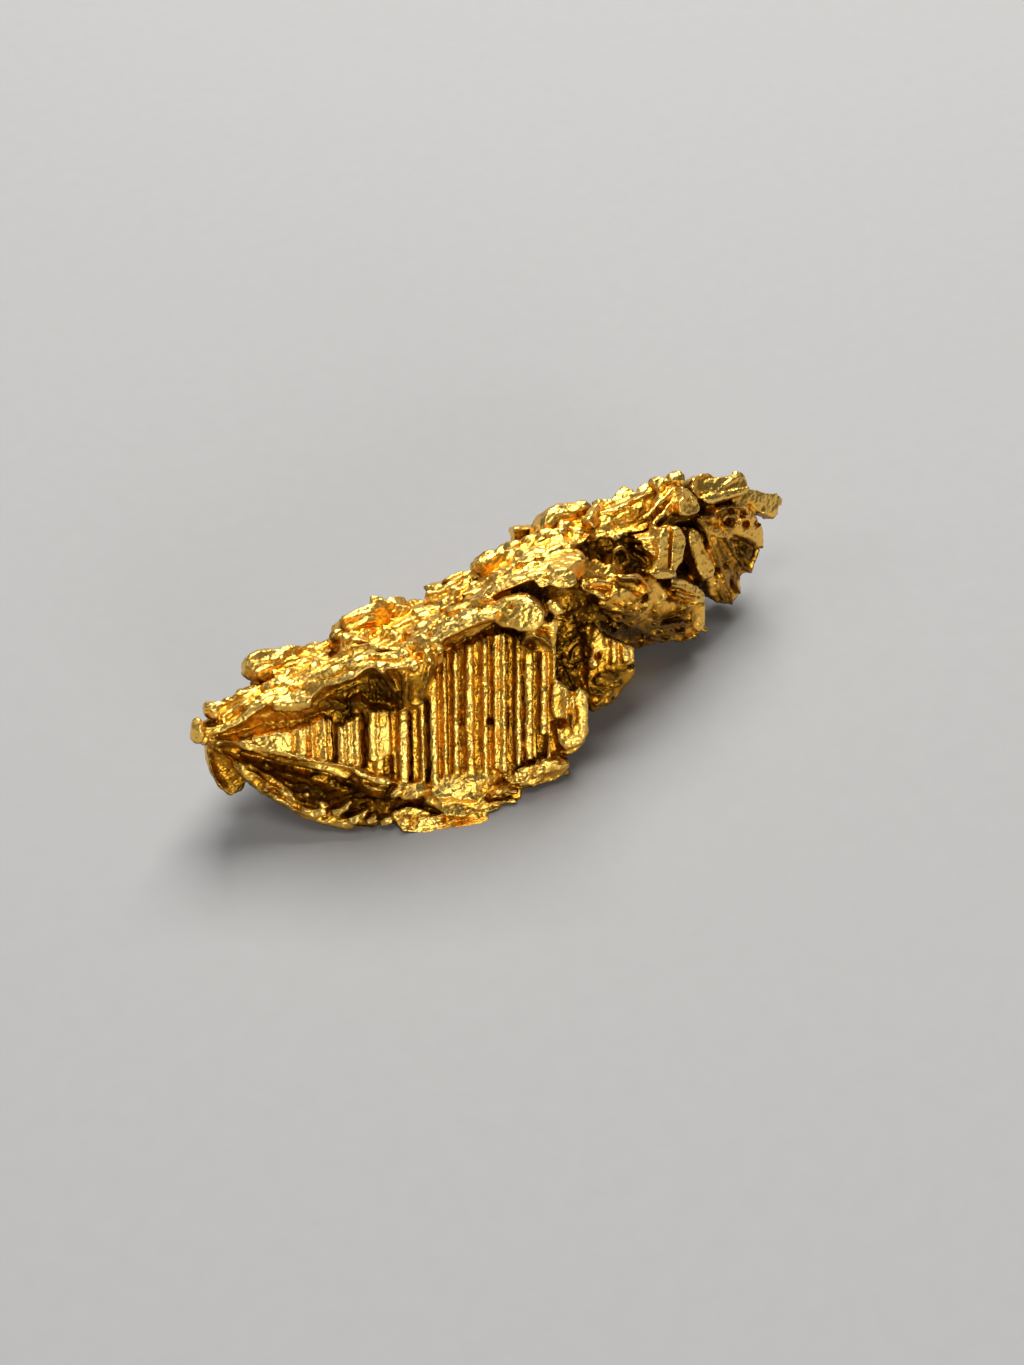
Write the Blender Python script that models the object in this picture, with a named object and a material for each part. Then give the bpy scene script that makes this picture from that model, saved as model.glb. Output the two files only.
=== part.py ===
"""Native gold nugget: one grown mass of crystals, 32.5 mm long, lying on its belly.

Everything is measured in millimetres and written to the mesh in metres.  +X runs along the
nugget from its thin left tip to its crystal cluster, +Y to its back, +Z up, and the origin
is under the middle of it, on the surface that it rests on.

The mass is a core lofted through rails that run from tip to tip.  Crystals, lobes, flutes,
lumps and teeth grow out of it.  They are fused with it into one closed faceted solid, whose
belly is cut off level where it rests.
"""
import math
import random

import bmesh
import bpy
from mathutils import Matrix, Vector

MM = 0.001

# Driving sizes, in mm.  The nugget's length is that of the rails below, tip to tip.
GRAIN = 0.12             # voxel that fuses the crystals
REST_CUT = 0.0           # height of the level face under the belly
CUT_TOLERANCE = 1e-7     # how near the cut a point counts as on it, in metres

# Flutes of the front panel
FLUTES_FROM, FLUTES_TO = -13.0, 2.6
FLUTE_PITCH = 0.78       # spacing along the panel
FLUTE_RELIEF = 0.62      # how far the fullest flutes stand off the panel
FLUTE_ROOT = 0.6         # how deep a flute goes into the core
FLUTE_LEAN = (0.8, 0.9)  # how far a flute's top lies to the right of its foot: at first, added

# Teeth along the lowest rib: where they run, and their foot and tip off the rib
TEETH_FROM, TEETH_TO, TEETH_PITCH = -12.4, -5.2, 0.85
TOOTH_WIDE, TOOTH_THICK = 0.34, 0.7
TOOTH_FOOT, TOOTH_TIP = (-0.1, 0.2, -0.2), (0.5, -0.15, 0.55)

# Shares and counts
TRIANGLES = 9600         # faces kept on the faceted solid
SEED = 7
STATIONS = 53            # rings that the core is bridged from
EDGE = 0.22              # a crystal's bevel, of its least side
BLOCK_OVERRUN = 0.3      # how far a crystal runs past its ends, of its width
LOBE_OVERRUN = 0.7       # the same for a lobe
LOBE_WOBBLE = 0.08       # how far a lobe's skin is pushed in and out

# Directions that crystals face
FRONT = (-0.23, -0.86, 0.46)
OUT = (-0.36, -0.61, 0.71)
UP = (0.0, -0.15, 1.0)
BACK = (0.0, 0.85, 0.5)
DOWN = (0.0, -0.5, -0.85)

# Rails of the core, each a run of (x, y, z) points from the left tip to the right tip
CREST = [(-15.9, 1.1, 5.5), (-15.2, 1.3, 5.4), (-13.1, 1.5, 5.6), (-10.5, 1.6, 5.8),
         (-5.4, 1.6, 6.1), (-3.3, 1.6, 6.3), (-1.1, 1.6, 7.1), (1.1, 1.6, 7.8),
         (3.2, 1.6, 8.2), (8.3, 1.6, 8.2), (10.6, 1.6, 7.7), (13.0, 1.6, 6.7),
         (14.9, 1.4, 5.1), (16.0, 1.3, 4.9)]
LEDGE = [(-15.9, 0.9, 5.4), (-15.5, 0.8, 5.3), (-14.0, 0.1, 5.8), (-11.7, -0.7, 6.3),
         (-9.8, -1.3, 6.5), (-7.3, -1.7, 6.8), (-5.5, -1.9, 7.2), (-3.3, -2.0, 8.3),
         (-1.3, -2.0, 8.9), (1.2, -1.9, 8.8), (4.6, -0.6, 8.5), (7.0, -0.5, 8.5),
         (9.0, -0.4, 8.2), (12.0, 0.2, 7.0), (14.9, 0.9, 5.2), (16.0, 1.1, 4.9)]
LEDGE_UNDER = [(-15.9, 0.9, 5.2), (-14.0, 0.2, 5.3), (-11.7, -0.6, 5.7), (-7.3, -1.6, 6.1),
               (-5.5, -1.8, 6.7), (-3.3, -1.9, 7.7), (1.2, -1.9, 8.2), (4.6, -0.9, 7.6),
               (9.0, -0.6, 7.4), (12.0, 0.1, 6.4), (16.0, 1.1, 4.8)]
PANEL_TOP = [(-15.9, 0.9, 5.1), (-15.2, 0.9, 4.8), (-13.2, 0.5, 4.5), (-11.7, 0.0, 4.3),
             (-10.3, -0.3, 4.5), (-7.9, -0.6, 5.0), (-5.9, -0.8, 5.9), (-4.7, -0.9, 6.6),
             (-2.7, -1.1, 7.2), (1.1, -1.5, 7.5), (3.0, -1.6, 7.1), (4.6, -1.2, 7.0),
             (9.0, -0.8, 6.6), (12.0, 0.0, 5.8), (16.0, 1.1, 4.8)]
PANEL_FOOT = [(-15.9, 0.8, 5.0), (-15.3, 0.7, 4.9), (-13.1, 0.0, 4.0), (-11.5, -0.9, 3.1),
              (-9.9, -1.6, 2.6), (-8.9, -2.3, 1.8), (-7.2, -3.2, 1.0), (-6.0, -3.8, 0.6),
              (-4.7, -4.3, 0.4), (-3.8, -4.5, 0.4), (-2.3, -4.7, 0.7), (-1.0, -4.7, 1.3),
              (1.0, -4.1, 3.0), (2.5, -3.6, 3.5), (4.6, -1.9, 4.2), (9.0, -1.4, 4.2),
              (12.0, -0.3, 4.2), (16.0, 1.1, 4.7)]
RIM = [(-15.9, 0.7, 5.0), (-15.5, 0.5, 5.0), (-14.4, -0.1, 4.9), (-13.4, -0.8, 4.5),
       (-11.8, -1.7, 3.7), (-10.3, -2.5, 3.2), (-9.3, -3.2, 2.5), (-7.4, -4.2, 1.6),
       (-4.9, -5.3, 0.9), (-3.5, -5.6, 0.9), (-2.1, -5.6, 1.3), (-0.9, -5.4, 1.5),
       (1.0, -4.4, 2.8), (3.0, -3.9, 2.9), (4.6, -2.2, 3.6), (9.0, -1.5, 3.2),
       (12.0, -0.6, 2.7), (14.0, 0.1, 3.2), (16.0, 1.0, 4.6)]
RIM_UNDER = [(-15.9, 0.8, 4.9), (-14.4, 0.1, 4.5), (-11.8, -1.4, 3.2), (-9.3, -2.9, 2.0),
             (-7.4, -3.9, 1.1), (-4.9, -5.0, 0.5), (-0.9, -5.0, 1.0), (1.0, -4.1, 2.3),
             (4.6, -2.1, 3.2), (9.0, -1.4, 2.9), (12.0, -0.6, 2.4), (14.0, 0.2, 3.0), (16.0, 1.0, 4.6)]
HOLLOW = [(-15.9, 0.9, 4.8), (-15.4, 0.9, 4.3), (-14.1, 0.6, 3.4), (-12.2, -0.3, 2.4),
          (-10.3, -1.4, 1.5), (-8.7, -2.5, 0.9), (-7.2, -3.7, 0.5), (-5.0, -4.7, 0.3),
          (-1.0, -4.7, 0.6), (1.0, -3.9, 1.8), (3.0, -3.3, 2.1), (4.6, -1.9, 2.6),
          (9.0, -1.3, 2.3), (12.0, -0.4, 2.0), (14.0, 0.4, 2.8), (16.0, 1.1, 4.5)]
RIB = [(-15.9, 0.8, 4.7), (-15.5, 0.5, 4.5), (-14.9, 0.1, 3.9), (-13.6, -1.2, 2.4),
       (-12.6, -2.0, 1.7), (-11.5, -2.7, 1.1), (-10.7, -3.1, 0.7), (-9.6, -3.7, 0.3),
       (-7.6, -4.7, 0.0), (-5.3, -5.3, -0.1), (-3.0, -5.0, -0.1), (-1.0, -4.4, 0.4),
       (1.0, -3.6, 1.3), (3.0, -2.8, 1.7), (4.6, -1.8, 1.9), (9.0, -1.0, 1.8),
       (12.0, -0.1, 1.7), (14.9, 0.9, 3.5), (16.0, 1.2, 4.5)]
BELLY = [(-15.9, 1.2, 4.6), (-15.5, 1.2, 4.0), (-14.3, 0.6, 2.8), (-13.0, -0.3, 1.9),
         (-11.5, -1.2, 1.2), (-10.0, -1.8, 0.8), (-7.5, -2.4, 0.6), (-3.0, -2.4, 0.7),
         (1.0, -1.4, 0.9), (5.0, 0.2, 1.0), (9.0, 0.8, 1.0),
         (12.0, 1.2, 1.7), (14.9, 1.5, 3.6), (16.0, 1.4, 4.5)]
BACK_FOOT = [(-15.9, 1.4, 4.7), (-14.5, 1.9, 3.5), (-12.0, 2.0, 1.8), (-9.5, 2.2, 0.7),
             (-6.5, 2.6, 0.1), (-3.0, 2.8, -0.2), (4.0, 3.0, -0.2), (8.0, 3.0, -0.1),
             (11.0, 2.8, 0.9), (13.5, 2.4, 2.4), (16.0, 1.5, 4.5)]
BACK_RIDGE = [(-15.9, 1.5, 5.0), (-14.5, 2.3, 4.3), (-12.0, 3.2, 3.5), (-9.5, 4.0, 2.9),
              (-6.5, 4.6, 2.5), (-3.0, 4.9, 2.3), (1.0, 5.1, 2.4), (5.0, 5.2, 2.8),
              (8.0, 5.0, 3.1), (11.0, 4.3, 3.6), (13.5, 3.2, 4.0), (16.0, 1.6, 4.7)]
BACK_SHOULDER = [(-15.9, 1.4, 5.3), (-14.5, 2.0, 5.0), (-12.0, 2.7, 4.7), (-9.5, 3.2, 4.6),
                 (-6.5, 3.6, 4.6), (-3.0, 3.8, 4.8), (1.0, 3.9, 5.5), (5.0, 4.0, 6.1),
                 (8.0, 3.9, 6.1), (11.0, 3.2, 5.9), (13.5, 2.5, 5.2), (16.0, 1.5, 4.8)]
SECTION = [CREST, LEDGE, LEDGE_UNDER, PANEL_TOP, PANEL_FOOT, RIM, RIM_UNDER, HOLLOW, RIB,
           BELLY, BACK_FOOT, BACK_RIDGE, BACK_SHOULDER]

# Crystals with flat faces: from, to, width, thickness, facing, end taper
BLOCKS = [
    ((-15.5, 0.8, 4.3), (-15.1, 0.0, 2.3), 1.6, 0.7, (-0.5, -0.8, 0.3), 0.4),
    ((-10.0, -1.0, 7.0), (-7.9, -1.6, 7.2), 1.5, 1.5, UP, 0.8),
    ((-8.6, -1.9, 7.1), (-7.1, -2.2, 7.3), 1.9, 1.6, UP, 0.8),
    ((-7.3, -2.1, 7.0), (-5.9, -2.3, 7.5), 1.8, 2.0, UP, 0.7),
    ((-5.4, -1.9, 7.3), (-2.4, -2.2, 8.4), 0.9, 1.1, OUT, 0.8),
    ((-5.0, -1.4, 7.6), (-2.3, -1.6, 8.9), 0.7, 1.2, OUT, 0.8),
    ((-2.6, -1.6, 8.7), (-0.1, -1.9, 9.1), 0.7, 1.2, OUT, 0.9),
    ((-0.4, -2.0, 9.2), (1.4, -2.4, 9.0), 1.0, 1.4, OUT, 0.9),
    ((0.9, -2.5, 8.5), (4.0, -2.9, 6.9), 0.6, 1.3, OUT, 0.9),
    ((1.8, -2.3, 7.3), (5.2, -2.7, 4.9), 1.5, 1.9, OUT, 0.9),
    ((4.6, -2.3, 5.3), (8.2, -2.0, 3.2), 1.8, 2.2, OUT, 0.9),
    ((8.6, -1.9, 4.3), (9.0, -1.9, 2.0), 0.9, 1.4, FRONT, 0.6),
    ((6.6, -1.6, 5.6), (9.2, -2.0, 4.0), 1.0, 1.4, OUT, 0.8),
    ((2.6, -2.3, 7.3), (5.6, -2.1, 6.4), 0.4, 1.2, FRONT, 0.6),
    ((4.9, -1.1, 8.2), (6.8, -1.2, 6.9), 0.4, 1.0, OUT, 0.5),
    ((7.3, -1.5, 5.4), (8.1, -0.5, 7.9), 1.2, 1.1, FRONT, 0.9),
    ((9.5, -0.4, 7.0), (10.3, -1.1, 3.7), 0.8, 1.1, FRONT, 0.7),
    ((10.4, 0.2, 6.0), (11.8, -0.8, 1.8), 1.4, 1.5, FRONT, 0.6),
    ((11.1, 0.5, 5.8), (12.6, -0.4, 2.1), 1.4, 1.5, FRONT, 0.6),
    ((11.9, 0.7, 5.4), (13.5, 0.1, 2.7), 1.5, 1.6, FRONT, 0.7),
    ((13.2, 1.4, 5.7), (16.1, 1.2, 4.4), 1.0, 1.1, OUT, 0.9),
    ((10.5, 1.3, 7.7), (13.6, 1.3, 6.7), 0.9, 0.9, OUT, 0.7),
    ((10.6, 0.7, 7.2), (13.5, 0.9, 6.6), 0.5, 1.0, OUT, 0.6),
    ((7.4, -0.3, 7.9), (9.3, 1.3, 8.4), 1.6, 1.2, OUT, 0.8),
    ((8.8, -0.5, 8.1), (9.8, 0.5, 8.3), 1.0, 1.2, OUT, 0.6),
    ((-0.7, -5.3, 1.4), (0.3, -4.1, 4.9), 1.5, 1.5, FRONT, 0.9),
    ((-0.9, -5.1, 3.4), (-0.4, -4.6, 4.6), 0.6, 0.9, FRONT, 0.9),
    ((2.4, -3.6, 4.2), (3.0, -2.8, 6.0), 0.8, 1.2, FRONT, 0.9),
    ((3.4, -3.6, 3.8), (3.8, -3.0, 5.0), 0.7, 1.2, FRONT, 0.9),
    ((2.1, -3.7, 3.9), (3.8, -3.8, 3.4), 0.4, 1.2, FRONT, 0.9),
    ((-4.1, -4.9, 0.9), (-0.8, -5.7, 1.3), 0.8, 0.9, FRONT, 0.5),
    ((-8.8, -4.0, 0.3), (-5.1, -5.6, 0.1), 1.0, 0.7, FRONT, 0.9),
    # back side
    ((-11.0, 2.9, 3.2), (-7.0, 4.3, 2.6), 1.5, 1.4, BACK, 0.7),
    ((-5.5, 4.3, 3.6), (-2.5, 4.8, 1.6), 1.4, 1.3, BACK, 0.7),
    ((-1.8, 4.4, 4.2), (1.0, 5.0, 2.4), 1.3, 1.5, BACK, 0.8),
    ((1.8, 4.4, 4.8), (5.0, 4.9, 2.2), 1.5, 1.4, BACK, 0.7),
    ((5.0, 4.2, 5.4), (8.4, 4.7, 2.6), 1.4, 1.4, BACK, 0.7),
    ((8.2, 3.6, 5.4), (11.8, 3.6, 3.0), 1.3, 1.4, BACK, 0.6),
    ((9.8, 3.0, 2.0), (13.2, 2.7, 2.8), 1.1, 1.2, BACK, 0.6),
    ((-14.0, 2.0, 3.8), (-11.4, 2.9, 3.4), 1.1, 1.1, BACK, 0.7),
]

# Rounded lobes, knobs and lumps: from, to, width, thickness, facing
LOBES = [
    ((-15.9, 0.9, 5.2), (-15.8, 0.9, 4.8), 0.9, 0.9, FRONT),
    ((-15.8, 1.0, 5.4), (-15.6, 1.1, 5.9), 0.8, 0.8, OUT),
    ((-15.2, 1.3, 5.4), (-14.8, 1.5, 6.1), 0.8, 0.9, OUT),
    ((-12.1, 3.0, 4.8), (-9.0, 3.0, 4.6), 2.1, 1.6, OUT),
    ((-12.4, 2.9, 4.6), (-12.1, 2.9, 4.8), 1.0, 1.0, OUT),
    ((-7.4, 3.1, 5.3), (-5.1, 3.1, 5.1), 1.5, 1.4, OUT),
    ((-2.8, 2.2, 5.7), (-1.6, 2.2, 5.7), 0.9, 0.9, OUT),
    ((-0.7, 2.6, 6.8), (0.8, 2.6, 6.8), 1.1, 1.1, OUT),
    ((3.5, 2.7, 7.1), (6.5, 2.7, 6.7), 1.4, 1.4, OUT),
    ((-2.6, -2.4, 8.4), (-0.9, -3.3, 8.5), 1.4, 1.0, OUT),
    ((-2.2, -2.8, 7.4), (-0.8, -3.6, 7.1), 0.8, 1.3, OUT),
    ((-0.1, -2.8, 8.2), (-0.3, -3.4, 7.2), 0.6, 1.1, OUT),
    ((12.0, 0.6, 5.4), (14.2, 0.6, 3.7), 2.2, 2.2, OUT),
    ((0.2, -4.0, 5.3), (0.6, -4.0, 5.3), 0.7, 0.8, FRONT),
    ((1.9, -3.6, 2.5), (3.7, -3.5, 2.5), 1.6, 1.8, FRONT),
    ((-8.9, -3.7, 1.6), (-7.3, -4.2, 1.5), 0.7, 0.9, FRONT),
    ((-7.6, -4.2, 1.1), (-7.0, -4.5, 0.9), 0.5, 0.7, FRONT),
    ((-6.9, -4.5, 0.6), (-3.5, -5.3, 0.5), 0.9, 1.0, FRONT),
    ((-7.2, -3.9, 0.7), (-3.6, -4.3, 0.7), 2.2, 2.0, DOWN),
    ((6.0, 2.6, 0.6), (9.4, 2.6, 0.6), 2.0, 1.8, DOWN),
    ((-3.4, 2.6, 0.6), (-0.8, 2.7, 0.6), 2.0, 1.8, DOWN),
    ((-13.0, 1.2, 2.6), (-10.0, 1.4, 1.4), 1.6, 1.4, DOWN),
    ((10.5, 1.4, 1.9), (13.0, 1.6, 3.0), 1.4, 1.2, DOWN),
]

# Random growth: between two rails, how many, girth, longest stretch, facing
PATCHES = [
    (CREST, LEDGE, 46, 1.0, 3.0, UP),
    (CREST, CREST, 22, 1.0, 1.8, UP),
    (LEDGE, LEDGE_UNDER, 20, 0.8, 2.0, OUT),
    (RIM, RIM_UNDER, 26, 0.6, 1.8, FRONT),
    (CREST, BACK_SHOULDER, 26, 1.5, 2.2, BACK),
    (BACK_SHOULDER, BACK_RIDGE, 34, 1.9, 2.4, BACK),
    (BACK_RIDGE, BACK_FOOT, 30, 1.6, 2.0, BACK),
    (BACK_FOOT, BELLY, 22, 1.5, 2.0, DOWN),
]

GOLD = (0.83, 0.54, 0.13, 1.0)
GOLD_ROUGHNESS = 0.32


def along(rail, x):
    """The (y, z) of a rail at x, on straight runs between its points."""
    for left, right in zip(rail, rail[1:]):
        if x <= right[0]:
            share = (x - left[0]) / (right[0] - left[0])
            share = min(max(share, 0.0), 1.0)
            return [a + (b - a) * share for a, b in zip(left[1:], right[1:])]
    return list(rail[-1][1:])


def core():
    """The mass that everything grows from: a ring of rail points at each station, bridged."""
    form = bmesh.new()
    left, right = CREST[0][0], CREST[-1][0]
    rings = []
    for station in range(STATIONS):
        x = left + (right - left) * station / (STATIONS - 1)
        rings.append([form.verts.new((x, *along(rail, x))) for rail in SECTION])
    for ring, following in zip(rings, rings[1:]):
        for i in range(len(SECTION)):
            j = (i + 1) % len(SECTION)
            form.faces.new((ring[i], ring[j], following[j], following[i]))
    form.faces.new(reversed(rings[0]))
    form.faces.new(rings[-1])
    bmesh.ops.recalc_face_normals(form, faces=form.faces)
    return form


def pose(start, end, facing):
    """The frame of a crystal: its length on X, its width on Y, its face on Z."""
    start, end = Vector(start), Vector(end)
    run = (end - start).normalized()
    side = Vector(facing).cross(run).normalized()
    face = run.cross(side)
    turn = Matrix((run, side, face)).transposed().to_4x4()
    return Matrix.Translation((start + end) / 2) @ turn, (end - start).length


def block(start, end, width, thick, facing, taper):
    """A flat-faced crystal: a bevelled cuboid whose far end is drawn in."""
    place, length = pose(start, end, facing)
    form = bmesh.new()
    bmesh.ops.create_cube(form, size=1.0)
    for vert in form.verts:
        drawn = taper if vert.co.x > 0 else 1.0
        vert.co.x *= length + width * BLOCK_OVERRUN
        vert.co.y *= width * drawn
        vert.co.z *= thick * (0.5 + 0.5 * drawn)
    edge = EDGE * min(width, thick)
    bmesh.ops.bevel(form, geom=form.edges[:], offset=edge, segments=1, affect='EDGES')
    bmesh.ops.transform(form, matrix=place, verts=form.verts)
    return form


def lobe(start, end, width, thick, facing, draw):
    """A rounded lump: a ball stretched along its run, its skin pushed in and out a little."""
    place, length = pose(start, end, facing)
    form = bmesh.new()
    bmesh.ops.create_icosphere(form, subdivisions=2, radius=0.5)
    for vert in form.verts:
        vert.co.x *= length + width * LOBE_OVERRUN
        vert.co.y *= width
        vert.co.z *= thick
        vert.co *= draw.uniform(1 - LOBE_WOBBLE, 1 + LOBE_WOBBLE)
    bmesh.ops.transform(form, matrix=place, verts=form.verts)
    return form


def flutes(draw):
    """The upright flutes of the front panel: slats from its foot to its top.

    They stand fullest in the middle, where sin(pi * share) is 1, and each has its own width,
    its own relief and its own distance to the next.
    """
    x = FLUTES_FROM
    while x < FLUTES_TO:
        foot = along(PANEL_FOOT, x)
        share = (x - FLUTES_FROM) / (FLUTES_TO - FLUTES_FROM)
        reach = FLUTE_LEAN[0] + FLUTE_LEAN[1] * share
        top = along(PANEL_TOP, x + reach)
        low = Vector((x, *foot))
        high = Vector((x + reach, *top))
        width = FLUTE_PITCH * draw.uniform(0.42, 0.66)
        proud = FLUTE_RELIEF * (0.6 + 0.4 * math.sin(math.pi * share)) * draw.uniform(0.7, 1.15)
        rise = Vector(FRONT).normalized() * proud * 0.5
        yield block(low + rise * 0.4, high + rise * 0.4, width, proud + FLUTE_ROOT, FRONT, 0.95)
        x += FLUTE_PITCH * draw.uniform(0.88, 1.12)


def scatter(draw, patch):
    """Blocks grown at random spots between two rails, each turned its own way."""
    near, far, count, size, stretch, facing = patch
    left, right = near[0][0] + 1.0, near[-1][0] - 1.0
    for item in range(count):
        x = left + (right - left) * (item + draw.random()) / count
        share = draw.random()
        middle = Vector((x, *along(near, x))).lerp(Vector((x, *along(far, x))), share)
        taper_in = math.sin(math.pi * (x - near[0][0]) / (near[-1][0] - near[0][0]))
        girth = size * draw.uniform(0.45, 1.15) * (0.45 + 0.55 * taper_in)
        turn = draw.gauss(0.0, 0.45)
        run = Vector((math.cos(turn), math.sin(turn), draw.uniform(-0.35, 0.35)))
        reach = run * girth * draw.uniform(0.6, stretch) * 0.5
        lean = Vector(facing) + Vector([draw.uniform(-0.5, 0.5) for _ in range(3)])
        yield block(middle - reach, middle + reach, girth * draw.uniform(0.5, 0.9),
                    girth * draw.uniform(0.6, 0.9), lean, draw.uniform(0.4, 0.95))


def teeth():
    """The short teeth that lean along the lowest rib."""
    x = TEETH_FROM
    while x < TEETH_TO:
        foot = Vector((x, *along(RIB, x)))
        yield block(foot + Vector(TOOTH_FOOT), foot + Vector(TOOTH_TIP), TOOTH_WIDE,
                    TOOTH_THICK, FRONT, 0.6)
        x += TEETH_PITCH


def gather(forms):
    """All the forms as one mesh object, in metres, still overlapping."""
    mesh = bpy.data.meshes.new("nugget")
    whole = bmesh.new()
    for form in forms:
        piece = bpy.data.meshes.new("grown")
        form.to_mesh(piece)
        form.free()
        whole.from_mesh(piece)
        bpy.data.meshes.remove(piece)
    bmesh.ops.scale(whole, vec=(MM, MM, MM), verts=whole.verts)
    whole.to_mesh(mesh)
    whole.free()
    nugget = bpy.data.objects.new("nugget", mesh)
    bpy.context.scene.collection.objects.link(nugget)
    return nugget


def settle(nugget, modifier):
    """Applies a modifier by taking the evaluated mesh in its place."""
    graph = bpy.context.evaluated_depsgraph_get()
    mesh = bpy.data.meshes.new_from_object(nugget.evaluated_get(graph))
    nugget.modifiers.remove(modifier)
    nugget.data = mesh


def fuse(nugget):
    """One skin round all the forms, thinned until its flat stretches are single facets."""
    skin = nugget.modifiers.new("fuse", 'REMESH')
    skin.mode = 'VOXEL'
    skin.voxel_size = GRAIN * MM
    settle(nugget, skin)
    form = bmesh.new()
    form.from_mesh(nugget.data)
    keep_largest(form)
    bmesh.ops.triangulate(form, faces=form.faces)
    count = len(form.faces)
    form.to_mesh(nugget.data)
    form.free()
    thin = nugget.modifiers.new("thin", 'DECIMATE')
    thin.ratio = TRIANGLES / count
    settle(nugget, thin)


def keep_largest(form):
    """Deletes every shell but the one with the most faces."""
    form.faces.ensure_lookup_table()
    seen, shells = set(), []
    for face in form.faces:
        if face.index in seen:
            continue
        shell, queue = [], [face]
        seen.add(face.index)
        while queue:
            current = queue.pop()
            shell.append(current)
            for edge in current.edges:
                for near in edge.link_faces:
                    if near.index not in seen:
                        seen.add(near.index)
                        queue.append(near)
        shells.append(shell)
    shells.sort(key=len)
    for shell in shells[:-1]:
        bmesh.ops.delete(form, geom=shell, context='FACES')


def rest(nugget):
    """Cuts the belly off level, closes the cut, and centres the nugget over the origin."""
    form = bmesh.new()
    form.from_mesh(nugget.data)
    cut = bmesh.ops.bisect_plane(form, geom=form.verts[:] + form.edges[:] + form.faces[:],
                                 dist=CUT_TOLERANCE, plane_co=(0, 0, REST_CUT * MM),
                                 plane_no=(0, 0, -1), clear_outer=True)
    edges = [item for item in cut["geom_cut"] if isinstance(item, bmesh.types.BMEdge)]
    bmesh.ops.holes_fill(form, edges=edges)
    keep_largest(form)
    bmesh.ops.triangulate(form, faces=form.faces)
    low = [min(vert.co[axis] for vert in form.verts) for axis in range(3)]
    high = [max(vert.co[axis] for vert in form.verts) for axis in range(3)]
    shift = Vector((-(low[0] + high[0]) / 2, -(low[1] + high[1]) / 2, -low[2]))
    bmesh.ops.translate(form, vec=shift, verts=form.verts)
    bmesh.ops.recalc_face_normals(form, faces=form.faces)
    form.to_mesh(nugget.data)
    form.free()


def gold():
    """Native gold: a Principled metal."""
    material = bpy.data.materials.new("native_gold")
    material.use_nodes = True
    shader = material.node_tree.nodes["Principled BSDF"]
    shader.inputs["Base Color"].default_value = GOLD
    shader.inputs["Metallic"].default_value = 1.0
    shader.inputs["Roughness"].default_value = GOLD_ROUGHNESS
    return material


def main():
    for item in list(bpy.data.objects):
        bpy.data.objects.remove(item, do_unlink=True)
    draw = random.Random(SEED)
    forms = [core()]
    forms += [block(*row) for row in BLOCKS]
    forms += [lobe(*row, draw) for row in LOBES]
    forms += list(flutes(draw))
    for patch in PATCHES:
        forms += list(scatter(draw, patch))
    forms += list(teeth())
    nugget = gather(forms)
    fuse(nugget)
    rest(nugget)
    nugget.data.materials.clear()
    nugget.data.materials.append(gold())


main()
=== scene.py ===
"""Native gold nugget: one grown mass of crystals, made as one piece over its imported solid.

Sizes are in millimetres until the mesh is written.  +X runs from the thin left tip to the
crystal cluster, +Y to the back, +Z up.  The nugget is a core lofted through rails, with
crystals, plates, ridges, lumps and flutes grown out of it.  All of them are fused into one
skin, which is then grooved, pitted and hammered.
"""
import math
import bmesh
import bpy
import numpy as np
from mathutils import Matrix, Vector
from mathutils.bvhtree import BVHTree


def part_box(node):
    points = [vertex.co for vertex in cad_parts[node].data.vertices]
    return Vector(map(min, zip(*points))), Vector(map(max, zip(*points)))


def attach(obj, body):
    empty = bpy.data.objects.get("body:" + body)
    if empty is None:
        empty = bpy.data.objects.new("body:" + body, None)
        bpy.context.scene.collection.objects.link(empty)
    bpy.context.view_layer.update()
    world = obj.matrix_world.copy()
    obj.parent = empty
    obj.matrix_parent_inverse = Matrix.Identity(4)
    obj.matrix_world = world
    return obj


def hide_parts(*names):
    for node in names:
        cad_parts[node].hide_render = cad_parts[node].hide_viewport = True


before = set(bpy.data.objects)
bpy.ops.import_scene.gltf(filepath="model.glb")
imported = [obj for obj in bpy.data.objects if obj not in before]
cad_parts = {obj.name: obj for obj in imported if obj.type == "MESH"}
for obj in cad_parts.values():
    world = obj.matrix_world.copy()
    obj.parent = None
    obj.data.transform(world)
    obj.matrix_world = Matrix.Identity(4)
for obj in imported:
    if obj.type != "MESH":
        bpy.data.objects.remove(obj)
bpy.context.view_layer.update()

MM = 0.001

# The camera: where it looks from and how, in mm and degrees
AZIMUTH, ELEVATION = math.radians(31.0), math.radians(45.0)
TARGET = np.array([-2.235, -3.159, 4.934])
DISTANCE = 94.79
LENS, SENSOR = 55.0, 36.0
FRAME_WIDE, FRAME_HIGH = 1024, 1365
FOCAL = LENS / SENSOR * FRAME_HIGH
LEVEL_AHEAD = np.array([math.sin(AZIMUTH), math.cos(AZIMUTH), 0.0])
ACROSS = np.array([math.cos(AZIMUTH), -math.sin(AZIMUTH), 0.0])
ABOVE = LEVEL_AHEAD * math.sin(ELEVATION) + np.array([0.0, 0.0, math.cos(ELEVATION)])
AHEAD = LEVEL_AHEAD * math.cos(ELEVATION) - np.array([0.0, 0.0, math.sin(ELEVATION)])
EYE = TARGET - AHEAD * DISTANCE

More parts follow.
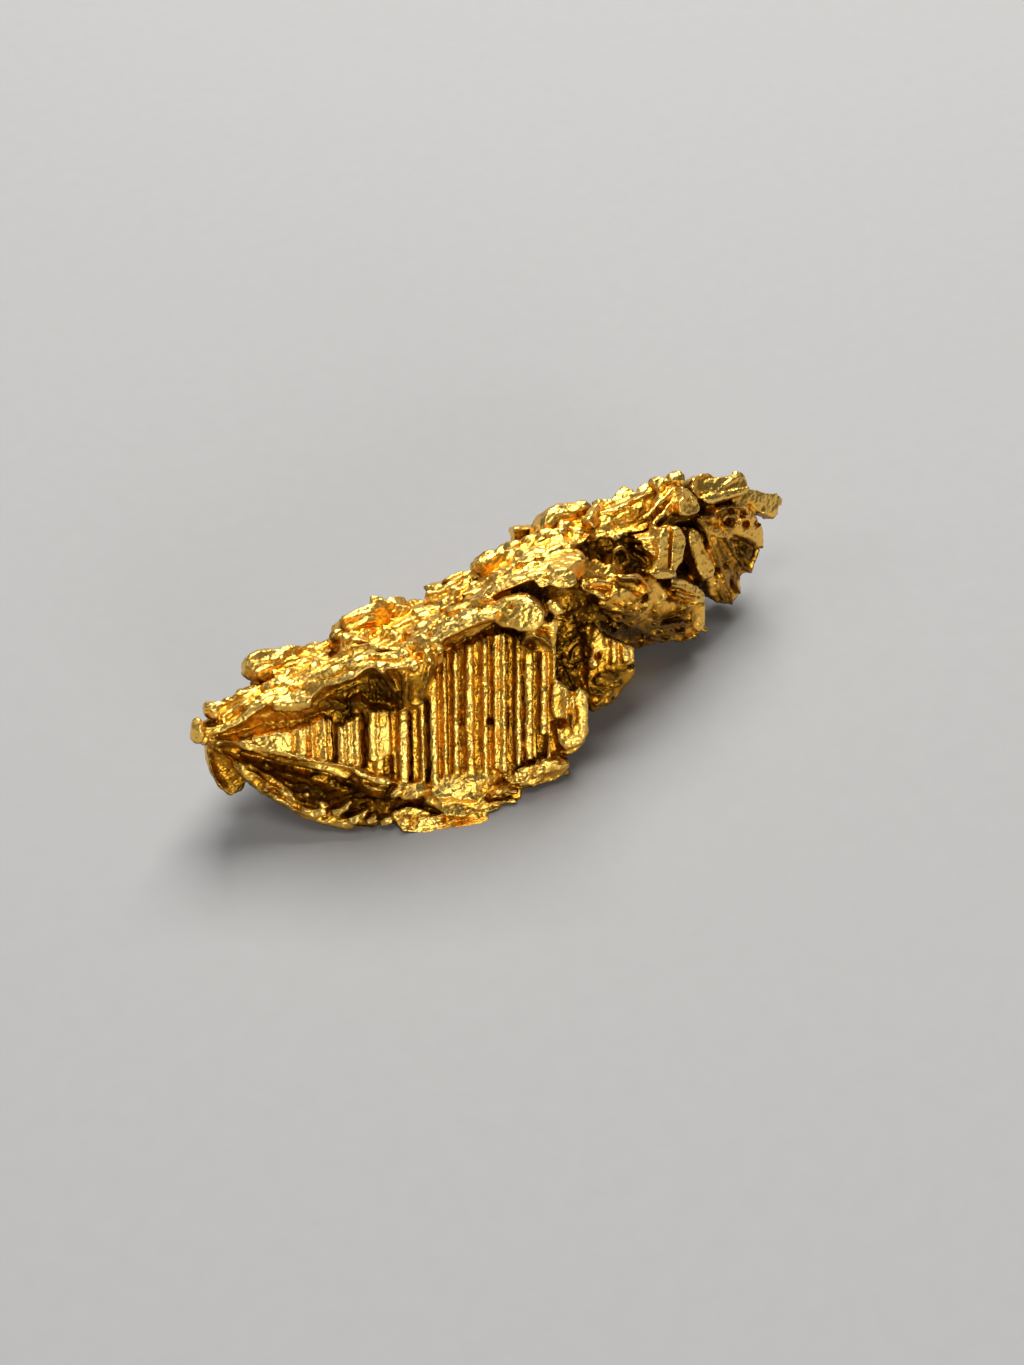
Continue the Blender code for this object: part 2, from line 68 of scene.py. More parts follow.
# Planes that sighted points lie on: a normal and a point
FLUTE_NORMAL = np.array([-0.23, -0.858, 0.459]) / np.linalg.norm([-0.23, -0.858, 0.459])
PANEL_POINT = np.array([-18.25, 1.1, 5.2])
PLANES = {"panel": (FLUTE_NORMAL, PANEL_POINT), "y": (np.array([0.0, 1.0, 0.0]), np.zeros(3))}
FLUTE_RUN = np.array([0.24, 0.41, 0.88]) / np.linalg.norm([0.24, 0.41, 0.88])
FLUTE_ACROSS = np.cross(FLUTE_RUN, FLUTE_NORMAL)
FLUTE_SCALE = 22.0       # the camera frame's pixels to a millimetre, at the nugget
CREST_RUN = np.array([0.99, -0.02, 0.12])
CREST_SIDE = np.array([0.02, 0.99, 0.1])

# Floor, lights (azimuth, elevation, distance, size, power) and surround
FLOOR_TOP = -0.002
FLOOR_TONE, FLOOR_TONE_TWO = (0.44, 0.435, 0.425, 1.0), (0.47, 0.465, 0.455, 1.0)
LIGHTS = [("key", 36.0, 54.0, 0.45, 0.27, 2.5), ("front", -176.0, 13.0, 0.45, 0.20, 0.74),
          ("top", -110.0, 76.0, 0.45, 0.16, 0.34), ("side", -80.0, 35.0, 0.45, 0.12, 0.16)]
SURROUND = 0.04

# Gold with painted light and shade: paler on open proud ground, darker orange, brown and near black in crevices and
# sheltered places, where shade falls
GOLD_PROUD_PAINTED_LIGHT = (1.0, 0.63, 0.14, 1.0)
GOLD_EVEN = (1.0, 0.54, 0.07, 1.0)
GOLD_DEEP_SHADE = (0.91, 0.43, 0.035, 1.0)
GOLD_CREVICE_SHADE = (0.40, 0.17, 0.014, 1.0)
GOLD_SHELTERED_SHADE = (0.52, 0.23, 0.014, 1.0)
GOLD_SHADED = (0.15, 0.07, 0.006, 1.0)

# How shelter is felt: directions, the grid's cell in mm and what one from below counts for.  Shelter darkens the gold's
# colour as painted shade, most of all on undersides
SHELTER_RAYS, SHELTER_CELL, FROM_BELOW = 48, 0.16, 0.1

# How fine the skin is
GRAIN = 0.062            # voxel that fuses the growth, in mm
SNAP = 0.000004          # points this near a cut are moved onto it, in metres
CUT_NUDGES = (0, 0.03, -0.03, 0.06, -0.06, 0.1, -0.1, 0.15)     # in mm
SKIN_TRIANGLES = 960000  # on the whole skin
FIT = 0.7                # the stretch at each end that is fitted to the solid's box, in mm
LENGTHS = 5              # how many lengths the skin is cut in, to keep each one light

# Directions that crystals face
FRONT = (-0.23, -0.86, 0.46)
OUT = (-0.36, -0.61, 0.71)
UP = (0.0, -0.15, 1.0)
BACK = (0.0, 0.85, 0.5)
DOWN = (0.0, -0.5, -0.85)
RIGHT = (0.9, -0.3, 0.1)
LEFT = (-0.9, -0.3, 0.2)

CREST = [(-15.9, 1.1, 5.5), (-15.2, 1.3, 5.4), (-13.1, 1.5, 5.6), (-10.5, 1.6, 5.8),
         (-5.4, 1.6, 6.1), (-3.3, 1.6, 6.3), (-1.1, 1.6, 7.1), (1.1, 1.6, 7.8), (3.2, 1.6, 8.2),
         (8.3, 1.6, 8.2), (10.6, 1.6, 7.4), (12.5, 1.6, 6.4), (14.4, 1.4, 5.4)]
PANEL_FOOT = [(-15.9, 0.8, 5.0), (-15.3, 0.7, 4.9), (-13.1, 0.0, 4.0), (-11.5, -0.9, 3.1),
              (-9.9, -1.6, 2.6), (-8.9, -2.3, 1.8), (-7.2, -3.2, 1.0), (-6.0, -3.8, 0.6),
              (-4.7, -4.3, 0.4), (-3.8, -4.5, 0.4), (-2.3, -4.7, 0.7), (-1.0, -4.7, 1.3),
              (1.0, -4.1, 3.0), (1.9, -3.0, 3.3), (3.0, -2.3, 5.6), (4.78, -2.3, 4.1),
              (6.72, -2.1, 2.4), (8.74, -2.0, 1.25), (9.4, -1.9, 1.4), (9.9, 0.2, 2.6),
              (10.5, 0.9, 3.5), (14.4, 1.2, 5.0)]
RIM = [(-15.9, 0.7, 5.0), (-15.5, 0.5, 5.0), (-14.4, -0.1, 4.9), (-13.4, -0.8, 4.5),
       (-11.8, -1.7, 3.7), (-10.3, -2.5, 3.2), (-9.3, -3.2, 2.5), (-7.4, -4.2, 1.6),
       (-4.9, -5.3, 0.9), (-3.5, -5.6, 0.9), (-2.1, -5.6, 1.3), (-0.9, -5.4, 1.5),
       (1.0, -4.4, 2.8), (1.9, -3.0, 2.7), (3.2, -2.2, 3.2), (4.8, -1.9, 3.3), (6.7, -1.8, 2.0),
       (8.7, -1.7, 1.1), (9.4, -1.6, 1.2), (9.9, 0.3, 2.2), (10.5, 1.0, 3.1), (14.4, 1.2, 4.8)]
RIM_UNDER = [(-15.9, 0.8, 4.9), (-14.4, 0.1, 4.5), (-11.8, -1.4, 3.2), (-9.3, -2.9, 2.0),
             (-7.4, -3.9, 1.1), (-4.9, -5.0, 0.5), (-0.9, -5.0, 1.0), (1.0, -4.1, 2.3),
             (1.9, -2.8, 2.3), (3.2, -2.1, 2.6), (4.8, -1.7, 2.7), (6.7, -1.6, 1.7),
             (9.4, -1.4, 1.1), (9.9, 0.5, 1.9), (10.5, 1.1, 2.8), (14.4, 1.3, 4.7)]
HOLLOW = [(-15.9, 0.9, 4.8), (-15.4, 0.9, 4.3), (-14.1, 0.6, 3.4), (-12.2, -0.3, 2.4),
          (-10.3, -1.4, 1.5), (-8.7, -2.5, 0.9), (-7.2, -3.7, 0.5), (-5.0, -4.7, 0.3),
          (-1.0, -4.7, 0.6), (1.0, -3.9, 1.8), (1.9, -2.6, 1.9), (3.2, -2.0, 2.0),
          (4.8, -1.4, 1.9), (6.7, -1.3, 1.4), (9.4, -1.1, 1.1), (9.9, 0.6, 1.6), (10.5, 1.2, 2.5),
          (14.4, 1.4, 4.6)]
RIB = [(-15.9, 0.8, 4.7), (-15.5, 0.5, 4.5), (-14.9, 0.1, 3.9), (-13.6, -1.2, 2.4),
       (-12.6, -2.0, 1.7), (-11.5, -2.7, 1.1), (-10.7, -3.1, 0.7), (-9.6, -3.7, 0.3),
       (-7.6, -4.7, 0.0), (-5.3, -5.3, -0.1), (-3.0, -5.0, -0.1), (-1.0, -4.4, 0.4),
       (1.0, -3.6, 1.3), (1.9, -2.3, 1.2), (3.2, -1.8, 1.3), (4.8, -1.3, 1.3), (6.7, -1.0, 1.1),
       (9.4, -0.8, 1.1), (9.9, 0.8, 1.4), (10.5, 1.3, 2.2), (14.4, 1.5, 4.6)]
BELLY = [(-15.9, 1.2, 4.6), (-15.5, 1.2, 4.0), (-14.3, 0.6, 2.8), (-13.0, -0.3, 1.9),
         (-11.5, -1.2, 1.2), (-10.0, -1.8, 0.8), (-7.5, -2.4, 0.6), (-3.0, -2.4, 0.7),
         (1.0, -1.4, 0.9), (5.0, 0.2, 1.0), (9.0, 0.8, 1.0), (10.5, 1.6, 1.8), (12.0, 1.7, 2.6),
         (14.4, 1.6, 4.6)]
BACK_FOOT = [(-15.9, 1.4, 4.7), (-14.5, 1.9, 3.5), (-12.0, 2.0, 1.8), (-9.5, 2.2, 0.7),
             (-6.5, 2.6, 0.1), (-3.0, 2.8, -0.2), (4.0, 3.0, -0.2), (8.0, 3.0, -0.1),
             (11.0, 2.8, 0.9), (13.0, 2.4, 2.6), (14.4, 1.8, 4.5)]
BACK_RIDGE = [(-15.9, 1.5, 5.0), (-14.5, 2.3, 4.3), (-12.0, 3.2, 3.5), (-9.5, 4.0, 2.9),
              (-6.5, 4.6, 2.5), (-3.0, 4.9, 2.3), (1.0, 5.1, 2.4), (5.0, 5.2, 2.8),
              (8.0, 5.0, 3.1), (11.0, 4.3, 3.6), (13.0, 3.2, 4.0), (14.4, 2.0, 4.8)]
BACK_SHOULDER = [(-15.9, 1.4, 5.3), (-14.5, 2.0, 5.0), (-12.0, 2.7, 4.7), (-9.5, 3.2, 4.6),
                 (-6.5, 3.6, 4.6), (-3.0, 3.8, 4.8), (1.0, 3.9, 5.5), (5.0, 4.0, 6.1),
                 (8.0, 3.9, 6.1), (11.0, 3.2, 5.9), (13.0, 2.6, 5.3), (14.4, 1.8, 5.1)]

# Rails traced in the camera's frame: (u, v, d), d off the panel's plane, between points in mm
LEDGE = ([(-15.9, 0.9, 5.4), (-15.5, 0.8, 5.3)],
         [(222, 729, -0.3), (238, 722, -0.2), (254, 711, -0.1), (266, 703, 0.0), (285, 703, 0.2),
          (303, 701, 0.35), (314, 694, 0.45), (322, 686, 0.6), (333, 684, 0.85), (345, 680, 1.0),
          (356, 676, 1.1), (363, 669, 1.2), (371, 666, 1.3), (390, 668, 1.35), (402, 667, 1.35),
          (412, 663, 1.25), (426, 654, 1.0), (438, 640, 0.6), (450, 631, 0.5), (462, 622, 0.45),
          (474, 611, 0.4), (484, 600, 0.35), (500, 590, 0.4), (517, 582, 0.5), (533, 575, 0.65),
          (551, 570, 0.8), (563, 569, 0.6)],
         [(2.7, -1.3, 8.8), (3.3, 0.5, 7.8), (4.1, 0.4, 7.8), (5.2, 0.3, 7.6), (6.6, 0.0, 6.9),
          (7.3, 0.1, 7.0), (7.9, 0.2, 7.0), (8.8, 0.3, 7.0), (10.2, 0.5, 6.5), (11.0, 0.9, 6.3),
          (14.4, 1.3, 5.3)])
BROW = ([(-15.9, 0.9, 5.2)],
        [(222, 733, -0.5), (240, 728, -0.5), (256, 718, -0.5), (272, 710, -0.4), (288, 709, -0.2),
         (303, 707, -0.1), (314, 700, 0.0), (322, 695, 0.0), (333, 690, -0.1), (345, 686, -0.45),
         (356, 683, -0.5), (366, 678, -0.45), (378, 678, -0.2), (392, 680, 0.1), (405, 681, 0.8),
         (418, 676, 1.1), (430, 666, 0.8), (440, 648, 0.3), (452, 638, 0.2), (464, 628, 0.1),
         (476, 617, 0.0), (486, 606, -0.1), (500, 597, -0.1), (517, 590, 0.0), (533, 585, 0.1),
         (551, 583, 0.4), (563, 581, 0.3)],
        [(2.7, -1.4, 8.2), (3.5, 0.4, 7.4), (5.0, 0.5, 6.9), (6.6, 0.4, 6.4), (8.2, 0.8, 6.2),
         (10.2, 1.1, 5.9), (11.0, 1.2, 5.9), (14.4, 1.3, 5.2)])
HEAD = ([(-15.9, 0.9, 5.1)],
        [(222, 735, -0.7), (240, 732, -0.8), (258, 729, -0.85), (276, 727, -0.8),
         (292, 728, -0.75), (306, 722, -0.7), (318, 712, -0.55), (330, 708, -0.4),
         (345, 712, -0.85), (358, 713, -0.9), (371, 712, -0.9), (384, 710, -0.8), (396, 710, -0.5),
         (408, 709, 0.1), (420, 704, 0.4), (432, 688, 0.1), (442, 658, -0.4), (455, 648, -0.5),
         (468, 644, -0.6), (480, 640, -0.6), (492, 630, -0.6), (505, 612, -0.6), (520, 602, -0.7),
         (535, 597, -0.7), (551, 596, -0.5), (563, 596, -0.5)],
        [(2.7, -1.4, 7.6), (3.5, -0.4, 6.9), (5.0, -0.5, 6.4), (6.7, -0.4, 5.4), (8.3, 0.4, 4.4),
         (9.6, 0.8, 4.2), (10.5, 1.1, 4.8), (14.4, 1.25, 5.15)])
PANEL_TOP = ([(-15.9, 0.9, 5.1)],
             [(222, 737, -0.9), (240, 736, -1.05), (258, 734, -1.05), (276, 733, -1.05),
              (306, 728, -1.05), (330, 718, -1.05), (358, 722, -1.05), (384, 720, -1.05),
              (408, 718, -1.05), (425, 708, -1.05), (442, 664, -1.05), (468, 652, -1.05),
              (492, 640, -1.05), (520, 612, -1.1), (551, 602, -1.1), (563, 602, -1.2)],
             [(2.5, -1.7, 7.1), (3.5, -2.2, 6.8), (3.8, -2.4, 6.8), (5.2, -2.4, 5.6),
              (7.0, -2.1, 4.7), (9.4, -1.8, 3.2), (9.9, 0.1, 3.4), (10.5, 0.9, 4.1),
              (14.4, 1.2, 5.1)])
TIP_LEFT, TIP_RIGHT = -15.9, 14.4

# Crystals with flat faces: from, to, width, thickness, facing, end taper
BLOCKS = [
    ((10.6, 0.7, 7.2), (13.5, 0.9, 6.6), 0.5, 1.0, OUT, 0.6),
    ((10.5, 1.3, 7.7), (13.6, 1.3, 6.7), 0.9, 0.9, OUT, 0.7),
    ((8.0, 0.4, 7.9), (9.3, 1.3, 8.3), 1.1, 0.9, OUT, 0.8),
    # back side
    ((-11.0, 2.9, 3.2), (-7.0, 4.3, 2.6), 1.5, 1.4, BACK, 0.7),
    ((-5.5, 4.3, 3.6), (-2.5, 4.8, 1.6), 1.4, 1.3, BACK, 0.7),
    ((-1.8, 4.4, 4.2), (1.0, 5.0, 2.4), 1.3, 1.5, BACK, 0.8),
    ((1.8, 4.4, 4.8), (5.0, 4.9, 2.2), 1.5, 1.4, BACK, 0.7),
    ((5.0, 4.2, 5.4), (8.4, 4.7, 2.6), 1.4, 1.4, BACK, 0.7),
    ((8.2, 3.6, 5.4), (11.8, 3.6, 3.0), 1.3, 1.4, BACK, 0.6),
    ((9.8, 3.0, 2.0), (13.2, 2.7, 2.8), 1.1, 1.2, BACK, 0.6),
    ((-14.0, 2.0, 3.8), (-11.4, 2.9, 3.4), 1.1, 1.1, BACK, 0.7),
]

# Rounded lobes, knobs and lumps: from, to, width, thickness, facing
LOBES = [
    ((-15.9, 0.9, 5.2), (-15.8, 0.9, 4.8), 0.9, 0.9, FRONT),
    ((-7.2, -3.9, 0.7), (-3.6, -4.3, 0.7), 2.2, 2.0, DOWN),
    ((6.0, 2.6, 0.6), (9.4, 2.6, 0.6), 2.0, 1.8, DOWN),
    ((-3.4, 2.6, 0.6), (-0.8, 2.7, 0.6), 2.0, 1.8, DOWN),
    ((-13.0, 1.2, 2.6), (-10.0, 1.4, 1.4), 1.6, 1.4, DOWN),
    ((10.5, 1.4, 1.9), (13.0, 1.6, 3.0), 1.4, 1.2, DOWN),
]

# Random growth: near rail, far rail, from x, to x, how many, girth, longest stretch, facing
PATCHES = [
    (CREST, LEDGE, -5.5, 9.5, 40, 0.55, 3.0, UP),
    (CREST, LEDGE, -11.5, -5.5, 9, 0.4, 3.0, UP),
    (CREST, CREST, -6.0, 4.0, 22, 0.6, 1.8, UP),
    (RIM, RIM_UNDER, -9.0, 13.5, 16, 0.5, 1.8, FRONT),
    (PANEL_FOOT, RIM, -6.5, 0.8, 26, 0.42, 1.8, FRONT),
    (PANEL_TOP, PANEL_FOOT, 3.2, 9.6, 46, 0.55, 2.2, FRONT),
    (CREST, BACK_SHOULDER, -14.5, 13.5, 40, 1.3, 2.2, BACK),
    (BACK_SHOULDER, BACK_RIDGE, -14.5, 13.5, 60, 1.5, 2.4, BACK),
    (BACK_RIDGE, BACK_FOOT, -14.5, 13.5, 50, 1.3, 2.0, BACK),
    (BACK_FOOT, BELLY, -14.5, 13.5, 40, 1.3, 2.0, DOWN),
    (RIB, BELLY, -14.5, 13.5, 40, 0.8, 2.0, DOWN),
]

# Flutes of the front panel: across at mid height, width in the camera's frame, the height of
# their foot and how proud they stand, in mm
FLUTES = [
    (256, 9.5, 747, 0.3), (264.5, 6.5, 751, 0.42), (270.5, 4.5, 753, 0.5), (277.5, 8, 755, 0.55),
    (283.5, 6, 756, 0.62), (288.5, 6, 758, 0.6), (294, 3, 758, 0.4), (299, 6.3, 759, 0.62),
    (304.5, 3.3, 760, 0.6), (311, 4.3, 761, 0.68), (317, 7.5, 760, 0.34), (323.5, 5.3, 760, 0.55),
    (330, 3.5, 761, 0.25), (340, 7.8, 763, 0.72), (348, 5.3, 766, 0.7), (355.5, 6.3, 770, 0.78),
    (371, 8.3, 760, 0.75), (368, 9.5, 776, 0.3), (378, 9.3, 780, 0.6), (383, 13.3, 756, 0.7),
    (393, 4, 782, 0.2), (402, 10.1, 781, 0.85), (413, 6.3, 784, 0.22), (421, 5.6, 784, 0.8),
    (432, 8.6, 788, 0.95), (437.5, 3.8, 788, 0.4), (443, 6.1, 790, 0.85), (448.5, 3.8, 790, 0.3), (454, 6.6, 792, 0.95),
    (461, 4.3, 790, 0.35), (468, 9, 796, 0.9), (475.5, 4.3, 796, 0.4), (483, 7, 792, 0.95),
    (488.5, 3.8, 780, 0.3), (493.5, 6, 768, 0.85), (501.5, 6.5, 772, 0.95), (508, 3.8, 764, 0.25),
    (516, 6.5, 764, 1), (521, 3.8, 760, 0.3), (526.5, 9, 758, 1.05), (533.5, 3.8, 758, 0.3),
    (541, 7.6, 733, 1.05), (547, 3.5, 761, 0.5), (551.5, 3.6, 720, 0.7),
]
FLUTE_BED = -0.45        # how far behind the panel's plane the flutes are rooted, in mm
FLUTE_RISE = 0.50        # how much of its stand a flute keeps above the bed
# Where the flutes end under the ledges: across, down in the camera's frame
FLUTE_HEADS = [(250, 734), (270, 730), (285, 728), (300, 724), (325, 714), (340, 722), (356, 711),
               (371, 706), (400, 706), (425, 690), (440, 652),
               (462, 644), (480, 634), (500, 628), (530, 636), (557, 605), (580, 600)]

# Plates with traced outlines: (on, thick, crown, edge, outline)
PLATES = {
    "back_lobe": ("y", 0.9, 0.1, 0.25,
                  [(248, 668, 2.9), (247, 658, 3.2), (251, 652, 3.4), (262, 648, 3.5),
                   (278, 646, 3.5), (292, 643, 3.5), (304, 644, 3.5), (318, 648, 3.4),
                   (318, 656, 2.8), (308, 664, 2.5), (296, 672, 2.3), (284, 679, 2.2),
                   (274, 682, 2.2), (264, 680, 2.3), (255, 673, 2.6)]),
    "tip_leaf": ("core", 0.5, -0.12, 0.1,
                 [(219, 719, 0.05), (226, 711, 0.1), (234, 706, 0.12), (244, 705, 0.12),
                  (249, 709, 0.12), (242, 717, 0.1), (230, 723, 0.08), (222, 723, 0.05)]),
    "leaf_two": ("core", 0.5, -0.12, 0.1,
                 [(244, 702, 0.05), (250, 694, 0.08), (258, 689, 0.1), (266, 687, 0.1),
                  (270, 691, 0.1), (264, 699, 0.1), (254, 705, 0.08), (246, 706, 0.05)]),
    "hanging_leaf": ("panel", 0.7, -0.35, 0.1,
                     [(206, 741, -0.8), (207, 760, -1.0), (211, 776, -1.1), (221, 790, -1.1),
                      (232, 796, -1.1), (242, 790, -1.1), (248, 780, -1.2), (240, 765, -1.2),
                      (226, 750, -1.0)]),
    "lip_fin": ("core", 0.5, 0.03, 0.08,
                [(270, 700, 0.12), (280, 694, 0.15), (290, 692, 0.16), (297, 688, 0.18),
                 (301, 689, 0.2), (304, 695, 0.22), (312, 698, 0.25), (306, 702, 0.25),
                 (296, 705, 0.2), (282, 705, 0.15), (272, 703, 0.12)]),
    "lobe_two": ("y", 1.5, 0.1, 0.2,
                 [(342, 626, 3), (343, 618, 3.1), (352, 611, 3.2), (365, 605, 3.3),
                  (376, 602, 3.3), (384, 604, 3.2), (391, 612, 3), (396, 621, 2.8),
                  (388, 623, 2.6), (376, 622, 2.5), (362, 624, 2.5), (350, 630, 2.6)]),
    "lobe_two_foot": ("y", 1.2, 0.12, 0.2,
                      [(334, 640, 2.3), (348, 632, 2.5), (362, 626, 2.6), (376, 624, 2.6),
                       (390, 625, 2.5), (400, 631, 2.3), (407, 638, 2), (398, 643, 1.8),
                       (384, 647, 1.7), (366, 646, 1.8), (348, 648, 1.9)]),
    "nose_one": ("core", 0.8, 0.05, 0.1,
                 [(413, 642, 0.2), (424, 638, 0.25), (435, 641, 0.3), (444, 648, 0.4),
                  (438, 653, 0.4), (431, 658, 0.35), (425, 651, 0.3), (414, 651, 0.2)]),
    "bright_chip": ("core", 0.4, 0.0, 0.05,
                    [(409, 667, 0.2), (418, 663, 0.25), (421, 668, 0.25), (414, 674, 0.2)]),
    "lower_chip": ("panel", 0.6, 0.0, 0.06,
                   [(409, 702, 0.5), (413, 698, 0.55), (421, 699, 0.6), (425, 703, 0.6),
                    (419, 708, 0.5), (412, 707, 0.5)]),
    "ledge_two_facet": ("panel", 0.8, -0.03, 0.1,
                        [(434, 648, 0.05), (435, 641, 0.35), (447, 632, 0.45), (462, 624, 0.5),
                         (478, 617, 0.6), (492, 611, 0.7), (497, 620, 0.6), (489, 628, 0.35),
                         (476, 636, 0.1), (462, 642, -0.1), (447, 648, -0.2)]),
    "tongue": ("panel", 1.0, 0.08, 0.2,
               [(487, 611, 0.65), (495, 603, 0.8), (505, 599, 1), (518, 597, 1.2),
                (530, 600, 1.35), (539, 606, 1.45), (545, 615, 1.5), (543, 625, 1.45),
                (536, 633, 1.4), (524, 634, 1.3), (512, 630, 1.15), (502, 628, 0.95),
                (493, 622, 0.75)]),
    "tongue_under": ("panel", 0.9, -0.15, 0.1,
                     [(533, 634, 1.3), (545, 638, 1.35), (552, 646, 1.3), (553, 653, 1.1),
                      (540, 654, 1.0), (528, 652, 1.0), (521, 645, 1.05), (525, 637, 1.2)]),
    "side_crystal_a": ("panel", 0.9, 0.04, 0.08,
                       [(546, 604, 0.95), (551, 600, 0.95), (557, 603, 1.0), (562, 609, 1.0),
                        (565, 615, 0.95), (556, 616, 0.9), (549, 613, 0.9)]),
    "side_crystal_b": ("panel", 0.8, 0.02, 0.06,
                       [(541, 627, 0.95), (545, 621, 0.95), (551, 624, 1.0), (555, 617, 0.95),
                        (558, 620, 0.9), (559, 630, 0.9), (556, 636, 0.85), (548, 631, 0.9)]),
    "side_crystal_c": ("panel", 0.8, 0.0, 0.06,
                       [(541, 635, 0.9), (551, 632, 0.9), (557, 637, 0.85), (555, 649, 0.75),
                        (548, 645, 0.85)]),
    "sweep_nose": ("panel", 1.3, 0.08, 0.12,
                   [(550, 573, 0.95), (555, 566, 0.9), (568, 564, 0.9), (575, 570, 0.95),
                    (578, 582, 1.0), (575, 586, 1.0), (566, 589, 1.0), (557, 587, 1.0),
                    (550, 584, 1.0)]),
    "sweep_chip": ("panel", 0.8, 0.0, 0.06,
                   [(534, 580, 0.8), (543, 578, 0.85), (552, 579, 0.9), (549, 585, 0.9),
                    (540, 588, 0.85)]),
    "lobe_four": ("y", 1.5, 0.2, 0.25,
                  [(543, 531, 2.0), (544, 518, 2.4), (551, 508, 2.6), (561, 502, 2.8),
                   (575, 501, 2.8), (588, 499, 2.7), (595, 506, 2.4), (594, 515, 2.1),
                   (584, 525, 1.8), (568, 531, 1.7), (553, 536, 1.8)]),
    "oval_facet": ("y", 0.9, -0.06, 0.06,
                   [(619, 595, -2.5), (624, 590, -2.4), (631, 591, -2.4), (637, 597, -2.4),
                    (642, 604, -2.4), (634, 604, -2.5), (626, 600, -2.5)]),
    "shelf_crystal_a": ("y", 0.6, 0.0, 0.05,
                        [(645, 600, -2.3), (652, 600, -2.3), (656, 606, -2.4), (652, 613, -2.5),
                         (646, 608, -2.4)]),
    "shelf_crystal_b": ("y", 0.6, 0.0, 0.05,
                        [(658, 601, -2.2), (667, 600, -2.1), (668, 606, -2.2), (661, 613, -2.3),
                         (656, 607, -2.3)]),
    "orange_facet": ("y", 0.9, -0.05, 0.05,
                     [(650, 574, -1.9), (660, 583, -2.0), (670, 597, -2.1), (663, 602, -2.2),
                      (650, 601, -2.3), (645, 592, -2.2)]),
    "orange_trough": ("y", 0.8, -0.2, 0.08,
                      [(600, 582, -1.9), (615, 580, -1.8), (632, 580, -1.8), (645, 586, -2),
                       (647, 594, -2.2), (638, 600, -2.4), (628, 592, -2.3), (612, 589, -2.2),
                       (602, 590, -2.2)]),
    "vertical_plate_left": ("y", 0.9, 0.0, 0.04,
                            [(660, 546, -1.5), (662, 536, -1.25), (665, 528, -1), (669, 531, -1.1),
                             (669, 556, -1.6), (668, 573, -1.95), (653, 573, -2),
                             (658, 561, -1.75)]),
    "cream_facet": ("y", 0.7, 0.0, 0.04,
                    [(640, 545, -0.9), (650, 544, -1), (661, 540, -1.2), (660, 550, -1.4),
                     (657, 561, -1.6), (651, 553, -1.4), (645, 549, -1.1)]),
    "vertical_plate_right": ("y", 0.9, 0.0, 0.04,
                             [(674, 528, -1), (680, 527, -1), (687, 538, -1.15), (685, 549, -1.4),
                              (683, 560, -1.6), (677, 571, -1.85), (671, 573, -1.95),
                              (672, 556, -1.6)]),
    "plate_web": ("y", 0.8, 0.0, 0.04,
                  [(636, 540, -0.7), (650, 538, -0.9), (662, 534, -1), (662, 543, -1.1),
                   (648, 545, -1)]),
    "plate_sill": ("y", 1.0, 0.0, 0.04,
                   [(650, 573, -2.1), (664, 571, -2.05), (676, 571, -2), (677, 578, -2.1),
                    (664, 580, -2.2), (656, 579, -2.2)]),
    "tilted_blade": ("y", 0.8, 0.0, 0.05,
                     [(689, 531, -0.2), (693, 529, -0.2), (700, 545, -0.4), (705, 562, -0.7),
                      (709, 580, -1.0), (703, 582, -1.0), (696, 564, -0.8), (690, 546, -0.5)]),
    "tilted_strip": ("y", 0.8, 0.0, 0.05,
                     [(693, 528, 0.0), (699, 531, 0.0), (704, 545, -0.2), (712, 560, -0.4),
                      (716, 575, -0.7), (709, 578, -0.8), (704, 560, -0.5), (700, 546, -0.3)]),
    "fan_back": ("y", 1.2, 0.0, 0.08,
                 [(702, 522, 0.5), (718, 532, 0.5), (735, 537, 0.6), (750, 543, 0.7),
                  (757, 548, 0.6), (756, 560, 0.4), (750, 571, 0.2), (741, 576, 0.1),
                  (741, 591, -0.1), (735, 601, -0.3), (728, 605, -0.4), (716, 600, -0.5),
                  (708, 588, -0.5), (712, 574, -0.3), (704, 552, 0), (698, 534, 0.2)]),
    "fan_blade_a": ("y", 0.6, 0.0, 0.05,
                    [(704, 528, 0.1), (712, 534, 0.1), (722, 552, -0.1), (730, 572, -0.4),
                     (732, 590, -0.7), (729, 604, -0.9), (724, 598, -0.9), (716, 576, -0.6),
                     (708, 552, -0.2)]),
    "fan_blade_b": ("y", 0.6, 0.0, 0.05,
                    [(714, 533, 0.2), (724, 537, 0.2), (732, 550, 0.1), (738, 566, -0.1),
                     (740, 578, -0.3), (736, 582, -0.4), (728, 568, -0.2), (719, 550, 0)]),
    "fan_blade_c": ("y", 0.6, 0.0, 0.05,
                    [(726, 538, 0.3), (738, 541, 0.4), (746, 552, 0.3), (751, 564, 0.1),
                     (748, 572, 0), (740, 566, 0.1), (732, 552, 0.2)]),
    "fan_foot": ("y", 0.7, 0.0, 0.06,
                 [(706, 578, -0.7), (715, 577, -0.7), (722, 590, -0.9), (728, 605, -1),
                  (717, 603, -0.9), (708, 594, -0.8)]),
    "silver_patch": ("y", 0.5, 0.0, 0.05,
                     [(705, 562, -0.6), (711, 559, -0.5), (715, 568, -0.6), (715, 577, -0.8),
                      (708, 579, -0.9), (704, 572, -0.8)]),
    "flag_crystal": ("y", 0.7, 0.0, 0.05,
                     [(729, 576, -0.1), (736, 574, 0.0), (741, 578, 0.0), (741, 589, -0.2),
                      (737, 593, -0.3), (733, 585, -0.2)]),
    "pitted_rock": ("y", 1.5, 0.15, 0.15,
                    [(700, 516, 0.3), (712, 508, 0.6), (728, 505, 0.8), (742, 505, 0.9),
                     (751, 510, 1.0), (758, 519, 0.9), (763, 530, 0.7), (764, 548, 0.4),
                     (757, 547, 0.3), (748, 540, 0.2), (735, 535, 0.2), (722, 530, 0.2),
                     (708, 524, 0.2)]),
    "rock_side": ("y", 1.0, 0.05, 0.1,
